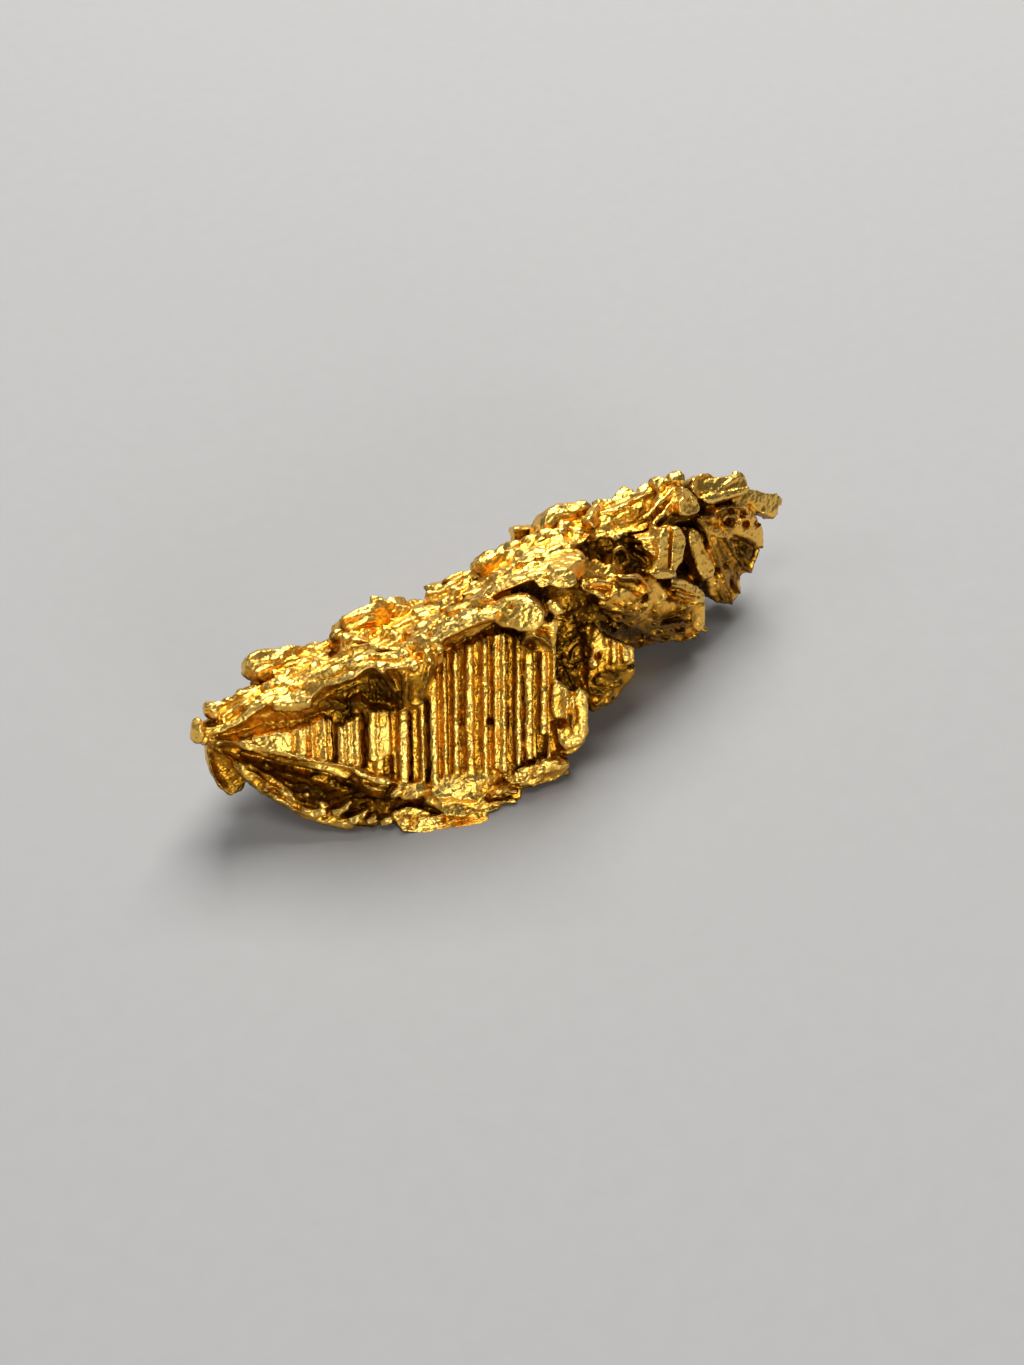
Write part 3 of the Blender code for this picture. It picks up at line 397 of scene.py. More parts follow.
                  [(750, 508, 0.9), (757, 516, 0.8), (762, 524, 0.7), (764, 535, 0.6),
                   (764, 548, 0.4), (758, 548, 0.3), (752, 538, 0.3), (749, 524, 0.5),
                   (748, 514, 0.8)]),
    "dark_facet": ("y", 1.0, 0.0, 0.06,
                   [(697, 518, 0.1), (712, 524, 0.1), (730, 531, 0.1), (738, 538, 0.0),
                    (722, 538, -0.2), (709, 534, -0.2)]),
    "prism_top": ("y", 0.7, 0.03, 0.1,
                  [(733, 501, 0.8), (741, 488, 1.3), (752, 489, 1.4), (766, 493, 1.4),
                   (777, 493, 1.5), (783, 499, 1.4), (782, 505, 1.2), (770, 507, 1.0),
                   (755, 504, 0.9), (742, 504, 0.8)]),
    "prism_side": ("y", 0.7, 0.0, 0.08,
                   [(752, 504, 0.9), (766, 507, 1.0), (780, 506, 1.1), (779, 514, 0.9),
                    (774, 519, 0.8), (764, 514, 0.7), (756, 510, 0.8)]),
    "top_lobe_upper": ("y", 0.9, -0.4, 0.1,
                       [(692, 489, 0.7), (694, 478, 1.1), (702, 473, 1.4), (710, 472, 1.5),
                        (716, 477, 1.4), (726, 476, 1.5), (737, 474, 1.5), (739, 478, 1.3),
                        (728, 485, 1), (716, 491, 0.8), (701, 500, 0.5)]),
    "top_lobe_lower": ("y", 0.9, -0.4, 0.1,
                       [(700, 502, 0.5), (716, 492, 0.8), (728, 486, 1), (739, 479, 1.3),
                        (745, 484, 1.3), (741, 491, 1.1), (734, 498, 0.9), (722, 503, 0.7),
                        (708, 506, 0.4)]),
    "heart_facet": ("y", 0.9, -0.12, 0.1,
                    [(682, 487, 0.3), (690, 489, 0.3), (697, 497, 0.1), (701, 508, -0.1),
                     (698, 514, -0.3), (689, 516, -0.4), (681, 515, -0.4), (680, 504, -0.2),
                     (684, 497, 0.0)]),
    "stick": ("y", 1.0, 0.1, 0.12,
              [(667, 579, -1.6), (680, 579, -1.5), (691, 583, -1.5), (701, 589, -1.6),
               (707, 598, -1.7), (704, 603, -1.8), (690, 602, -1.9), (677, 599, -1.9),
               (670, 590, -1.8)]),
    "stick_end": ("y", 1.0, 0.0, 0.08,
                  [(686, 605, -1.9), (699, 604, -1.8), (706, 603, -1.8), (706, 625, -2.1),
                   (700, 633, -2.2), (692, 627, -2.2), (694, 617, -2.1)]),
    "block_one": ("panel", 1.6, 0.05, 0.2,
                  [(551, 686, -0.2), (555, 680, -0.2), (563, 681, -0.1), (572, 688, 0.0),
                   (580, 685, 0.0), (586, 694, 0.0), (588, 706, 0.0), (588, 732, 0.0),
                   (585, 744, 0.0), (578, 752, -0.1), (566, 757, -0.2), (558, 750, -0.3),
                   (553, 735, -0.4), (551, 712, -0.3)]),
    "shelf_front_a": ("y", 1.8, 0.05, 0.12,
                      [(580, 592, -2.2), (590, 595, -2.4), (600, 598, -2.5), (608, 600, -2.6),
                       (617, 597, -2.6), (626, 602, -2.6), (636, 606, -2.6), (642, 612, -2.5),
                       (640, 623, -2.2), (628, 622, -2.1), (612, 616, -2.0), (598, 610, -1.9),
                       (588, 601, -2.0)]),
    "shelf_front_b": ("y", 1.8, 0.08, 0.12,
                      [(636, 606, -2.6), (646, 612, -2.5), (660, 614, -2.4), (668, 604, -2.2),
                       (686, 603, -2.0), (692, 612, -2.0), (696, 626, -2.0), (692, 636, -2.0),
                       (672, 639, -1.9), (652, 637, -2.0), (640, 630, -2.1), (630, 622, -2.2)]),
    "tent_facet": ("panel", 0.6, -0.1, 0.04,
                   [(337, 692, 0.05), (346, 688, -0.05), (358, 683, -0.1), (368, 678, -0.05),
                    (371, 692, -0.35), (368, 706, -0.5), (352, 708, -0.5), (340, 704, -0.3)]),
    "overhang_facet_a": ("panel", 0.5, 0.0, 0.06,
                         [(326, 700, 0.1), (336, 701, 0.2), (346, 707, 0.1), (344, 713, -0.2),
                          (334, 710, -0.2)]),
    "overhang_facet_b": ("panel", 0.5, 0.0, 0.06,
                         [(350, 704, 0.1), (360, 701, 0.25), (369, 707, 0.2), (366, 714, -0.1),
                          (352, 713, -0.2)]),
    "block_raised": ("panel", 0.8, 0.0, 0.1,
                     [(552, 686, 0.3), (556, 680, 0.3), (561, 684, 0.35), (568, 687, 0.4),
                      (570, 700, 0.4), (569, 715, 0.4), (562, 720, 0.35), (554, 719, 0.3),
                      (551, 708, 0.3)]),
    "block_side": ("panel", 0.8, 0.05, 0.14,
                   [(575, 690, 0.25), (580, 685, 0.25), (587, 694, 0.25), (589, 710, 0.25),
                    (588, 732, 0.25), (584, 744, 0.2), (574, 750, 0.15), (564, 750, 0.1),
                    (563, 742, 0.15), (573, 735, 0.25), (578, 720, 0.3), (577, 702, 0.3)]),
    "block_two": ("panel", 1.2, 0.0, 0.08,
                  [(582, 622, -1.0), (588, 625, -1.0), (591, 640, -1.0), (590, 650, -1.0),
                   (584, 650, -1.0), (581, 640, -1.0)]),
    "block_two_right": ("panel", 1.2, 0.0, 0.08,
                        [(592, 627, -1.0), (598, 627, -1.0), (604, 636, -1.0),
                         (604, 652, -1.0), (596, 655, -1.0), (588, 652, -1.0)]),
    "block_three": ("panel", 1.2, 0.0, 0.06,
                    [(606, 637, -1.1), (616, 640, -1.2), (625, 644, -1.2), (634, 647, -1.3),
                     (635, 662, -1.3), (624, 668, -1.2), (609, 668, -1.1), (600, 661, -1),
                     (603, 650, -1)]),
    "block_three_rib": ("panel", 0.5, 0.0, 0.04,
                        [(611, 640, -0.9), (617, 642, -0.9), (617, 664, -0.9), (611, 665, -0.9)]),
    "block_three_rib_b": ("panel", 0.5, 0.0, 0.04,
                          [(622, 645, -1), (629, 648, -1.05), (630, 662, -1.05), (623, 665, -1)]),
    "under_block": ("panel", 1.8, 0.1, 0.15,
                    [(583, 656, -1.1), (600, 662, -1), (612, 668, -1.1), (624, 670, -1.2),
                     (635, 666, -1.4), (637, 674, -1.5), (630, 684, -1.5), (622, 692, -1.5),
                     (614, 702, -1.5), (602, 710, -1.4), (592, 713, -1.3), (588, 700, -1.1),
                     (587, 680, -1.1)]),
    "under_chip_a": ("panel", 0.7, 0.0, 0.06,
                     [(585, 657, -0.8), (596, 659, -0.8), (600, 666, -0.8), (592, 671, -0.9),
                      (585, 667, -0.9)]),
    "under_chip_b": ("panel", 0.7, 0.0, 0.06,
                     [(602, 674, -0.9), (613, 673, -1), (619, 681, -1.1), (612, 688, -1.2),
                      (603, 684, -1.1)]),
    "under_facet": ("panel", 0.7, 0.0, 0.06,
                    [(590, 690, -1), (603, 687, -1.1), (615, 692, -1.3), (610, 701, -1.3),
                     (597, 706, -1.2), (590, 701, -1.1)]),
    "rim_oval": ("panel", 0.8, 0.12, 0.15,
                 [(399, 796, 0.3), (404, 788, 0.3), (414, 782, 0.3), (424, 783, 0.35),
                  (430, 790, 0.4), (424, 796, 0.4), (413, 800, 0.4), (402, 801, 0.35)]),
    "rim_bead": ("panel", 0.6, 0.08, 0.1,
                 [(424, 803, 0.35), (430, 793, 0.35), (437, 798, 0.35), (432, 805, 0.35)]),
    "rim_rough_a": ("panel", 0.9, 0.05, 0.1,
                    [(440, 799, 0.2), (448, 792, 0.1), (456, 797, 0.1), (466, 800, 0.1),
                     (477, 803, 0.1), (470, 812, 0.2), (459, 812, 0.3), (449, 806, 0.25)]),
    "rim_rough_b": ("panel", 1.0, 0.08, 0.12,
                    [(474, 801, 0.05), (481, 791, 0.0), (492, 784, -0.1), (500, 790, 0.0),
                     (506, 798, 0.1), (502, 804, 0.1), (489, 806, 0.1)]),
    "rim_facets": ("panel", 0.8, 0.0, 0.06,
                   [(503, 790, -0.1), (512, 789, -0.1), (522, 789, -0.1), (522, 801, -0.1),
                    (517, 806, -0.1), (504, 807, -0.1)]),
    "rim_plate": ("panel", 1.0, 0.04, 0.1,
                  [(497, 769, -0.2), (505, 762, -0.4), (516, 767, -0.3), (530, 759, -0.4),
                   (543, 762, -0.2), (550, 756, -0.3), (562, 757, -0.1), (571, 763, 0.1),
                   (560, 766, 0.3), (546, 768, 0.3), (535, 774, 0.3), (520, 779, 0.2),
                   (505, 779, 0.1)]),
    "rim_plate_front": ("panel", 1.0, -0.06, 0.08,
                        [(548, 768, 0.1), (571, 764, 0.1), (566, 773, -0.1), (556, 781, -0.2),
                         (541, 786, -0.2), (521, 790, -0.2), (506, 787, -0.1),
                         (520, 779, 0.1), (535, 775, 0.15)]),
    "keel_plate": ("panel", 1.0, -0.06, 0.1,
                   [(425, 824, 0.3), (440, 817, 0.3), (462, 812, 0.3), (478, 811, 0.3),
                    (485, 816, 0.3), (488, 824, 0.3), (484, 832, 0.3), (468, 833, 0.3),
                    (448, 832, 0.3), (428, 832, 0.3)]),
    "tooth_one": ("panel", 0.5, 0.0, 0.04,
                  [(301, 795, 0.1), (309, 792, 0.15), (311, 797, 0.15), (304, 799, 0.1)]),
    "tooth_two": ("panel", 0.5, 0.0, 0.04,
                  [(298, 800, 0.05), (306, 803, 0.1), (304, 806, 0.1), (298, 804, 0.05)]),
    "tooth_three": ("panel", 0.5, 0.0, 0.04,
                    [(301, 808, 0.05), (313, 810, 0.15), (309, 816, 0.1), (303, 813, 0.05)]),
    "tooth_four": ("panel", 0.5, 0.0, 0.04,
                   [(317, 803, 0.15), (323, 801, 0.2), (330, 807, 0.2), (322, 808, 0.15)]),
    "tooth_five": ("panel", 0.5, 0.0, 0.04,
                   [(313, 811, 0.1), (325, 808, 0.2), (328, 815, 0.2), (316, 819, 0.1)]),
    "tooth_six": ("panel", 0.6, 0.0, 0.04,
                  [(331, 811, 0.2), (340, 810, 0.35), (350, 801, 0.5), (353, 803, 0.5),
                   (347, 811, 0.4), (339, 818, 0.3), (332, 817, 0.2)]),
    "tooth_seven": ("panel", 0.6, 0.0, 0.04,
                    [(347, 819, 0.3), (355, 816, 0.4), (364, 811, 0.5), (370, 808, 0.55),
                     (364, 818, 0.5), (356, 826, 0.4), (348, 823, 0.3)]),
    "tooth_eight": ("panel", 0.6, 0.0, 0.04,
                    [(364, 822, 0.35), (372, 817, 0.45), (378, 815, 0.5), (377, 821, 0.45),
                     (369, 827, 0.35)]),
    "tooth_nine": ("panel", 0.6, 0.0, 0.04,
                   [(378, 822, 0.35), (386, 819, 0.45), (394, 819, 0.5), (391, 825, 0.4),
                    (381, 828, 0.35)]),
    "tooth_ten": ("panel", 0.7, 0.0, 0.05,
                  [(398, 824, 0.4), (404, 817, 0.5), (411, 819, 0.5), (408, 827, 0.45),
                   (400, 829, 0.4)]),
    "panel_foot_chip": ("panel", 0.8, 0.0, 0.06,
                        [(358, 776, -0.4), (370, 778, -0.3), (384, 781, -0.2),
                         (392, 786, -0.1), (386, 791, 0.1), (374, 789, 0.1), (362, 783, -0.1)]),
    "flute_bed": ("panel", 0.9, 0.0, 0.05,
                  [(232, 737, -0.5), (262, 728, -0.5), (300, 722, -0.5), (330, 712, -0.5),
                   (372, 704, -0.5), (410, 704, -0.5), (428, 688, -0.5), (442, 652, -0.5),
                   (480, 636, -0.5), (500, 626, -0.5), (535, 634, -0.5), (552, 640, -0.5),
                   (556, 680, -0.5), (553, 735, -0.5), (558, 752, -0.5), (540, 760, -0.5),
                   (500, 772, -0.5), (480, 796, -0.5), (440, 795, -0.5), (400, 788, -0.5),
                   (360, 776, -0.5), (330, 765, -0.5), (280, 757, -0.5), (250, 747, -0.5)]),
    "vertical_recess": ("y", 0.7, 0.0, 0.04,
                        [(664, 528, -0.75), (678, 528, -0.75), (676, 556, -1.3), (672, 573, -1.7),
                         (664, 572, -1.7), (666, 550, -1.2)]),
    "block_fill": ("panel", 1.2, 0.0, 0.1,
                   [(556, 690, 0.12), (566, 690, 0.12), (578, 692, 0.14), (584, 704, 0.16),
                    (584, 730, 0.14), (578, 744, 0.1), (566, 752, 0.02), (558, 744, -0.02),
                    (555, 720, 0.06)]),
    "rim_chip_a": ("panel", 0.7, 0.0, 0.05,
                   [(430, 790, 0.5), (440, 781, 0.2), (452, 779, 0.1), (460, 786, 0.35),
                    (452, 797, 0.65), (438, 799, 0.7)]),
    "rim_chip_b": ("panel", 0.7, 0.0, 0.05,
                   [(460, 786, 0.2), (472, 779, 0), (486, 780, 0), (490, 792, 0.25),
                    (476, 802, 0.6), (462, 799, 0.6)]),
    "rim_chip_c": ("panel", 0.7, 0.0, 0.05,
                   [(440, 803, 0.5), (456, 799, 0.3), (470, 803, 0.35), (478, 812, 0.6),
                    (462, 817, 0.8), (446, 815, 0.8)]),
    "rim_chip_d": ("panel", 0.7, 0.0, 0.05,
                   [(476, 803, 0.3), (490, 797, 0.1), (502, 801, 0.1), (500, 809, 0.4),
                    (486, 812, 0.6)]),
    "keel_fill": ("panel", 1.0, 0.0, 0.06,
                  [(392, 812, 0.15), (412, 806, 0.2), (432, 812, 0.25), (432, 826, 0.3),
                   (414, 831, 0.38), (398, 828, 0.35)]),
}

# Ridges: (on, width, height, facing, squareness, waver, path)
RIDGES = {
    "lip_one": ("core", 0.34, 0.34, OUT, 2.6, 0.15,
                [(204, 731, 0.08), (222, 729, 0.08), (238, 722, 0.08), (248, 714, 0.08),
                 (256, 708, 0.1), (266, 703, 0.1)]),
    "crest_line_a": ("core", 0.55, 0.36, OUT, 2.2, 0.12,
                     [(268, 690, 0.05), (280, 682, 0.05), (294, 673, 0.05), (308, 664, 0.05),
                      (322, 654, 0.05), (337, 645, 0.05), (350, 641, 0.05), (364, 639, 0.04)]),
    "crest_line_b": ("core", 0.5, 0.3, OUT, 2.2, 0.12,
                     [(262, 684, 0.02), (276, 676, 0.02), (290, 669, 0.02), (304, 659, 0.02),
                      (318, 650, 0.02), (331, 644, 0.02)]),
    "crest_line_c": ("core", 0.6, 0.4, OUT, 2.2, 0.12,
                     [(352, 656, 0.05), (368, 656, 0.05), (384, 655, 0.06), (400, 650, 0.08),
                      (416, 646, 0.12), (430, 645, 0.14)]),
    "crest_band_e": ("core", 0.6, 0.36, OUT, 2.2, 0.12,
                     [(312, 671, 0.05), (324, 660, 0.05), (336, 652, 0.05), (350, 651, 0.05),
                      (366, 651, 0.04), (382, 652, 0.03)]),
    "crest_line_f": ("core", 0.7, 0.4, OUT, 2.2, 0.1,
                     [(306, 684, 0.06), (320, 678, 0.08), (334, 676, 0.08), (346, 670, 0.08),
                      (358, 664, 0.08), (370, 660, 0.08), (384, 661, 0.08), (400, 660, 0.1),
                      (412, 656, 0.12)]),
    "beak": ("core", 0.34, 0.4, OUT, 2.4, 0.1,
             [(414, 641, 0.2), (424, 639, 0.25), (433, 642, 0.3), (441, 648, 0.35),
              (436, 654, 0.35)]),
    "overhang_lip": ("core", 0.32, 0.32, OUT, 2.6, 0.25,
                     [(301, 687, 0.08), (318, 683, 0.08), (333, 682, 0.08), (345, 678, 0.08),
                      (356, 674, 0.08), (363, 667, 0.08), (371, 665, 0.08), (378, 666, 0.08),
                      (390, 666, 0.08), (402, 665, 0.08), (412, 662, 0.08)]),
    "rib_facet": ("core", 0.36, 0.5, FRONT, 3.0, 0.1,
                  [(379, 667, 0.15), (386, 676, 0.1), (393, 685, 0.05), (398, 692, 0.0)]),
    "dark_rib_a": ("core", 0.22, 0.3, FRONT, 2.6, 0.15, [(403, 672, 0.05), (404, 706, 0.05)]),
    "dark_rib_b": ("core", 0.22, 0.3, FRONT, 2.6, 0.15, [(411, 675, 0.08), (410, 700, 0.08)]),
    "dark_rib_c": ("core", 0.25, 0.4, FRONT, 2.6, 0.15, [(429, 664, 0.1), (424, 684, 0.1),
                                                          (421, 700, 0.1)]),
    "ledge_two_lip": ("panel", 0.6, 0.7, OUT, 2.8, 0.12,
                      [(433, 640, 0.35), (445, 632, 0.45), (458, 626, 0.5), (474, 619, 0.55),
                       (488, 615, 0.65), (499, 614, 0.8)]),
    "ledge_two_foot": ("panel", 0.7, 1.2, OUT, 2.8, 0.1,
                       [(450, 628, 0.0), (470, 618, 0.05), (490, 612, 0.2), (506, 610, 0.4)]),
    "ledge_two_top": ("core", 0.5, 0.4, OUT, 2.4, 0.15,
                      [(436, 628, 0.05), (450, 619, 0.1), (464, 613, 0.12), (480, 610, 0.2)]),
    "hook": ("core", 0.28, 0.35, OUT, 2.4, 0.1,
             [(472, 603, 0.1), (481, 599, 0.14), (489, 598, 0.16), (494, 601, 0.16),
              (491, 605, 0.16)]),
    "sweep_edge": ("core", 0.4, 0.45, OUT, 2.6, 0.2,
                   [(484, 596, 0.05), (500, 588, 0.1), (517, 580, 0.14), (533, 573, 0.16),
                    (550, 569, 0.2)]),
    "sweep_line_a": ("core", 0.4, 0.4, OUT, 2.4, 0.25,
                     [(440, 615, 0.05), (455, 603, 0.05), (472, 590, 0.05), (492, 577, 0.05),
                      (512, 566, 0.05), (532, 555, 0.05)]),
    "sweep_line_b": ("core", 0.38, 0.4, OUT, 2.4, 0.3,
                     [(462, 580, 0.0), (480, 572, 0.03), (500, 562, 0.03), (520, 549, 0.03),
                      (545, 540, 0.03)]),
    "rim_edge": ("core", 0.42, 0.36, OUT, 2.6, 0.18,
                 [(206, 734, 0.1), (220, 736, 0.1), (234, 739, 0.08), (248, 745, 0.08),
                  (262, 751, 0.08), (276, 757, 0.08), (292, 761, 0.08), (310, 764, 0.1),
                  (328, 768, 0.1), (346, 774, 0.1), (362, 782, 0.1)]),
    "rib_edge": ("core", 0.26, 0.3, OUT, 2.6, 0.3,
                 [(215, 742, 0.08), (222, 746, 0.08), (230, 750, 0.08), (240, 756, 0.08),
                  (247, 760, 0.08), (252, 766, 0.08), (262, 771, 0.08), (270, 777, 0.08),
                  (278, 782, 0.08), (284, 788, 0.08), (292, 792, 0.08), (300, 795, 0.08),
                  (309, 794, 0.1)]),
    "flank_a": ("panel", 0.62, 0.9, FRONT, 2.2, 0.15,
                [(234, 760, -0.95), (243, 768, -1), (252, 778, -1), (265, 787, -0.9),
                 (278, 795, -0.85), (291, 802, -0.75), (306, 811, -0.6), (322, 817, -0.45),
                 (340, 821, -0.35), (358, 822, -0.2)]),
    "flank_line_a": ("panel", 0.26, 0.4, FRONT, 2.2, 0.35,
                     [(256, 772, -0.55), (268, 782, -0.5), (280, 789, -0.45), (290, 796, -0.35),
                      (300, 801, -0.25)]),
    "flank_line_b": ("panel", 0.24, 0.4, FRONT, 2.2, 0.35,
                     [(272, 795, -0.5), (288, 803, -0.4), (304, 812, -0.2), (318, 817, 0)]),
    "hollow_streak_a": ("core", 0.2, 0.2, FRONT, 2.2, 0.4,
                        [(262, 764, 0), (276, 770, 0), (292, 775, 0), (308, 778, 0)]),
    "hollow_streak_b": ("core", 0.2, 0.22, FRONT, 2.2, 0.4,
                        [(268, 771, 0), (282, 779, 0), (298, 783, 0), (310, 789, 0)]),
    "hollow_streak_c": ("core", 0.25, 0.2, FRONT, 2.2, 0.4,
                        [(300, 770, 0), (318, 777, 0), (334, 783, 0), (350, 789, 0)]),
    "ring": ("y", 0.2, 0.3, FRONT, 2.4, 0.08,
             [(613, 556, -0.75), (614, 551, -0.7), (620, 548, -0.7), (626, 551, -0.75),
              (628, 558, -0.85), (625, 564, -0.95), (618, 567, -1), (613, 562, -0.9),
              (613, 556, -0.75)]),
    "hole_streak": ("y", 0.18, 0.3, FRONT, 2.4, 0.15,
                    [(590, 560, -0.5), (599, 563, -0.7), (607, 567, -0.9), (616, 568, -1)]),
    "blade_a": ("y", 0.2, 0.5, FRONT, 2.2, 0.1,
                [(633, 546, -0.5), (645, 552, -0.9), (657, 562, -1.4)]),
    "blade_b": ("y", 0.2, 0.5, FRONT, 2.2, 0.1,
                [(632, 553, -0.6), (644, 561, -1.1), (656, 568, -1.6)]),
    "blade_c": ("y", 0.2, 0.4, FRONT, 2.2, 0.1,
                [(629, 564, -0.5), (640, 568, -0.7), (650, 572, -1)]),
    "thin_blade": ("y", 0.22, 0.5, FRONT, 2.2, 0.1,
                   [(616, 577, -1.9), (629, 577, -1.9), (639, 577, -1.9), (645, 583, -2.0),
                    (650, 591, -2.1)]),
    "shelf_edge": ("y", 0.3, 0.4, OUT, 2.4, 0.25,
                   [(578, 586, -2.0), (588, 592, -2.2), (600, 596, -2.4), (607, 598, -2.5),
                    (612, 592, -2.5), (618, 592, -2.5)]),
    "shelf_back": ("y", 0.26, 0.35, OUT, 2.4, 0.25,
                   [(580, 580, -1.9), (592, 584, -2.0), (604, 584, -2.0), (612, 586, -2.1)]),
    "front_streak": ("y", 0.24, 0.4, FRONT, 2.2, 0.15,
                     [(620, 621, -2.6), (630, 622, -2.6), (637, 626, -2.6), (646, 632, -2.6)]),
    "long_a": ("y", 0.2, 0.6, FRONT, 3.0, 0.06,
               [(704, 530, 0.1), (712, 552, -0.1), (722, 578, -0.4), (731, 604, -0.8)]),
    "long_b": ("y", 0.2, 0.6, FRONT, 3.0, 0.06,
               [(711, 534, 0.2), (722, 558, 0.0), (733, 582, -0.3), (738, 592, -0.4)]),
    "long_c": ("y", 0.2, 0.6, FRONT, 3.0, 0.06,
               [(722, 534, 0.3), (733, 552, 0.1), (744, 566, 0.0), (749, 571, 0.0)]),
    "long_d": ("y", 0.2, 0.6, FRONT, 3.0, 0.06,
               [(700, 550, -0.2), (712, 578, -0.5), (722, 598, -0.8)]),
    "pocket_rim": ("y", 0.26, 0.4, RIGHT, 2.4, 0.1,
                   [(757, 546, 0.3), (755, 556, 0.1), (750, 566, 0.0), (744, 572, 0.0)]),
    "top_split": ("y", 0.24, 0.4, OUT, 2.2, 0.1,
                  [(698, 501, 0.6), (712, 492, 0.9), (726, 484, 1.1), (738, 477, 1.4)]),
    "stick_line_a": ("y", 0.2, 0.3, OUT, 2.2, 0.08,
                     [(669, 579, -1.7), (684, 582, -1.65), (696, 588, -1.65), (704, 596, -1.75)]),
    "stick_line_b": ("y", 0.18, 0.3, OUT, 2.2, 0.08,
                     [(670, 584, -1.85), (684, 588, -1.8), (696, 593, -1.8), (704, 599, -1.85)]),
    "stick_line_c": ("y", 0.2, 0.3, OUT, 2.2, 0.08,
                     [(674, 593, -2.0), (686, 597, -1.98), (697, 600, -1.95), (704, 603, -1.95)]),
    "keel_edge": ("panel", 0.26, 0.26, OUT, 2.4, 0.2,
                  [(400, 828, 0.45), (425, 832, 0.45), (450, 831, 0.42), (470, 832, 0.42),
                   (484, 831, 0.4)]),
    "keel_end": ("panel", 0.24, 0.24, OUT, 2.4, 0.1,
                 [(470, 813, 0.4), (480, 811, 0.42), (486, 817, 0.42), (487, 826, 0.42),
                  (484, 831, 0.42)]),
    "leaf_edge": ("panel", 0.22, 0.4, FRONT, 2.4, 0.15,
                  [(487, 724, -0.25), (490, 740, -0.2), (489, 758, -0.2), (496, 774, -0.1)]),
    "foot_line": ("core", 0.3, 0.3, OUT, 2.6, 0.3,
                  [(352, 770, 0.05), (372, 779, 0.05), (392, 783, 0.05)]),
    "lobe_rim": ("y", 0.26, 0.36, OUT, 2.2, 0.1,
                 [(733, 474, 1.6), (741, 476, 1.6), (745, 483, 1.5), (742, 491, 1.3),
                  (735, 498, 1.1)]),
    "rock_rim_a": ("y", 0.2, 0.3, FRONT, 2.2, 0.15,
                   [(700, 518, 0.1), (714, 514, 0.4), (722, 508, 0.6), (735, 506, 0.7),
                    (745, 507, 0.8), (749, 514, 0.7)]),
    "rock_rim_b": ("y", 0.18, 0.3, FRONT, 2.2, 0.15,
                   [(722, 522, 0.1), (726, 516, 0.2), (732, 515, 0.2), (736, 520, 0.2),
                    (734, 528, 0.1), (727, 529, 0), (722, 524, 0.1)]),
    "block_line_a": ("panel", 0.18, 0.3, FRONT, 2.4, 0.2,
                     [(565, 690, 0.35), (566, 706, 0.38), (566, 722, 0.34)]),
    "block_line_b": ("panel", 0.18, 0.3, FRONT, 2.4, 0.2,
                     [(572, 696, 0.3), (573, 712, 0.32), (571, 730, 0.28)]),
    "flank_bed": ("panel", 1.0, 0.9, FRONT, 2.2, 0.1,
                  [(262, 778, -1.5), (282, 789, -1.45), (302, 800, -1.3), (322, 809, -1.1),
                   (342, 814, -0.9), (362, 817, -0.7), (382, 820, -0.4)]),
    "heart_line_a": ("y", 0.22, 0.4, OUT, 2.2, 0.15,
                     [(642, 520, 0), (654, 508, 0.3), (666, 496, 0.6), (676, 486, 0.9)]),
    "heart_line_b": ("y", 0.22, 0.4, OUT, 2.2, 0.15,
                     [(650, 527, -0.3), (662, 515, 0), (671, 503, 0.3), (680, 491, 0.6)]),
}

# Painted shade in the recesses and under overhangs, added to the shelter: on, across, down, off, reach in mm, strength
SHADE_SPOTS = [
    ("core", 345, 694, 0.0, 1.1, 0.36), ("core", 362, 694, 0.0, 1.1, 0.40),
    ("core", 380, 692, 0.0, 1.1, 0.36), ("core", 398, 690, 0.0, 0.9, 0.30),
    ("core", 412, 688, 0.0, 0.8, 0.25), ("core", 425, 676, 0.0, 0.8, 0.25),
    ("panel", 222, 766, -1.0, 1.1, 0.22), ("panel", 236, 782, -1.0, 0.9, 0.22),
    ("core", 250, 760, 0.0, 0.9, 0.20), ("core", 275, 772, 0.0, 1.0, 0.26),
    ("core", 300, 782, 0.0, 1.1, 0.28), ("core", 325, 788, 0.0, 1.0, 0.26),
    ("core", 350, 796, 0.0, 0.9, 0.22), ("panel", 535, 646, 1.1, 0.7, 0.34),
    ("panel", 520, 640, 1.0, 0.5, 0.26), ("core", 574, 612, 0.0, 0.9, 0.30),
    ("core", 572, 640, 0.0, 1.0, 0.34), ("core", 569, 668, 0.0, 0.9, 0.30),
    ("y", 588, 552, -0.4, 0.9, 0.34), ("y", 606, 550, -0.6, 0.8, 0.30),
    ("y", 632, 556, -0.9, 0.8, 0.28), ("y", 645, 566, -1.3, 0.7, 0.24),
    ("y", 598, 614, -2.3, 0.9, 0.46), ("y", 618, 624, -2.5, 1.0, 0.52),
    ("y", 640, 630, -2.5, 1.0, 0.54), ("y", 664, 630, -2.4, 1.0, 0.54),
    ("y", 684, 626, -2.4, 0.8, 0.48), ("y", 692, 560, -1.1, 0.7, 0.25),
    ("y", 722, 556, -0.1, 0.9, 0.42), ("y", 734, 574, -0.3, 0.9, 0.46),
    ("y", 726, 594, -0.8, 0.8, 0.42), ("y", 745, 556, 0.1, 0.9, 0.46),
    ("panel", 606, 690, -0.9, 1.1, 0.44), ("panel", 622, 682, -1.0, 1.0, 0.42),
    ("y", 706, 520, 0.2, 0.6, 0.22), ("panel", 470, 832, 0.3, 0.8, 0.15),
]

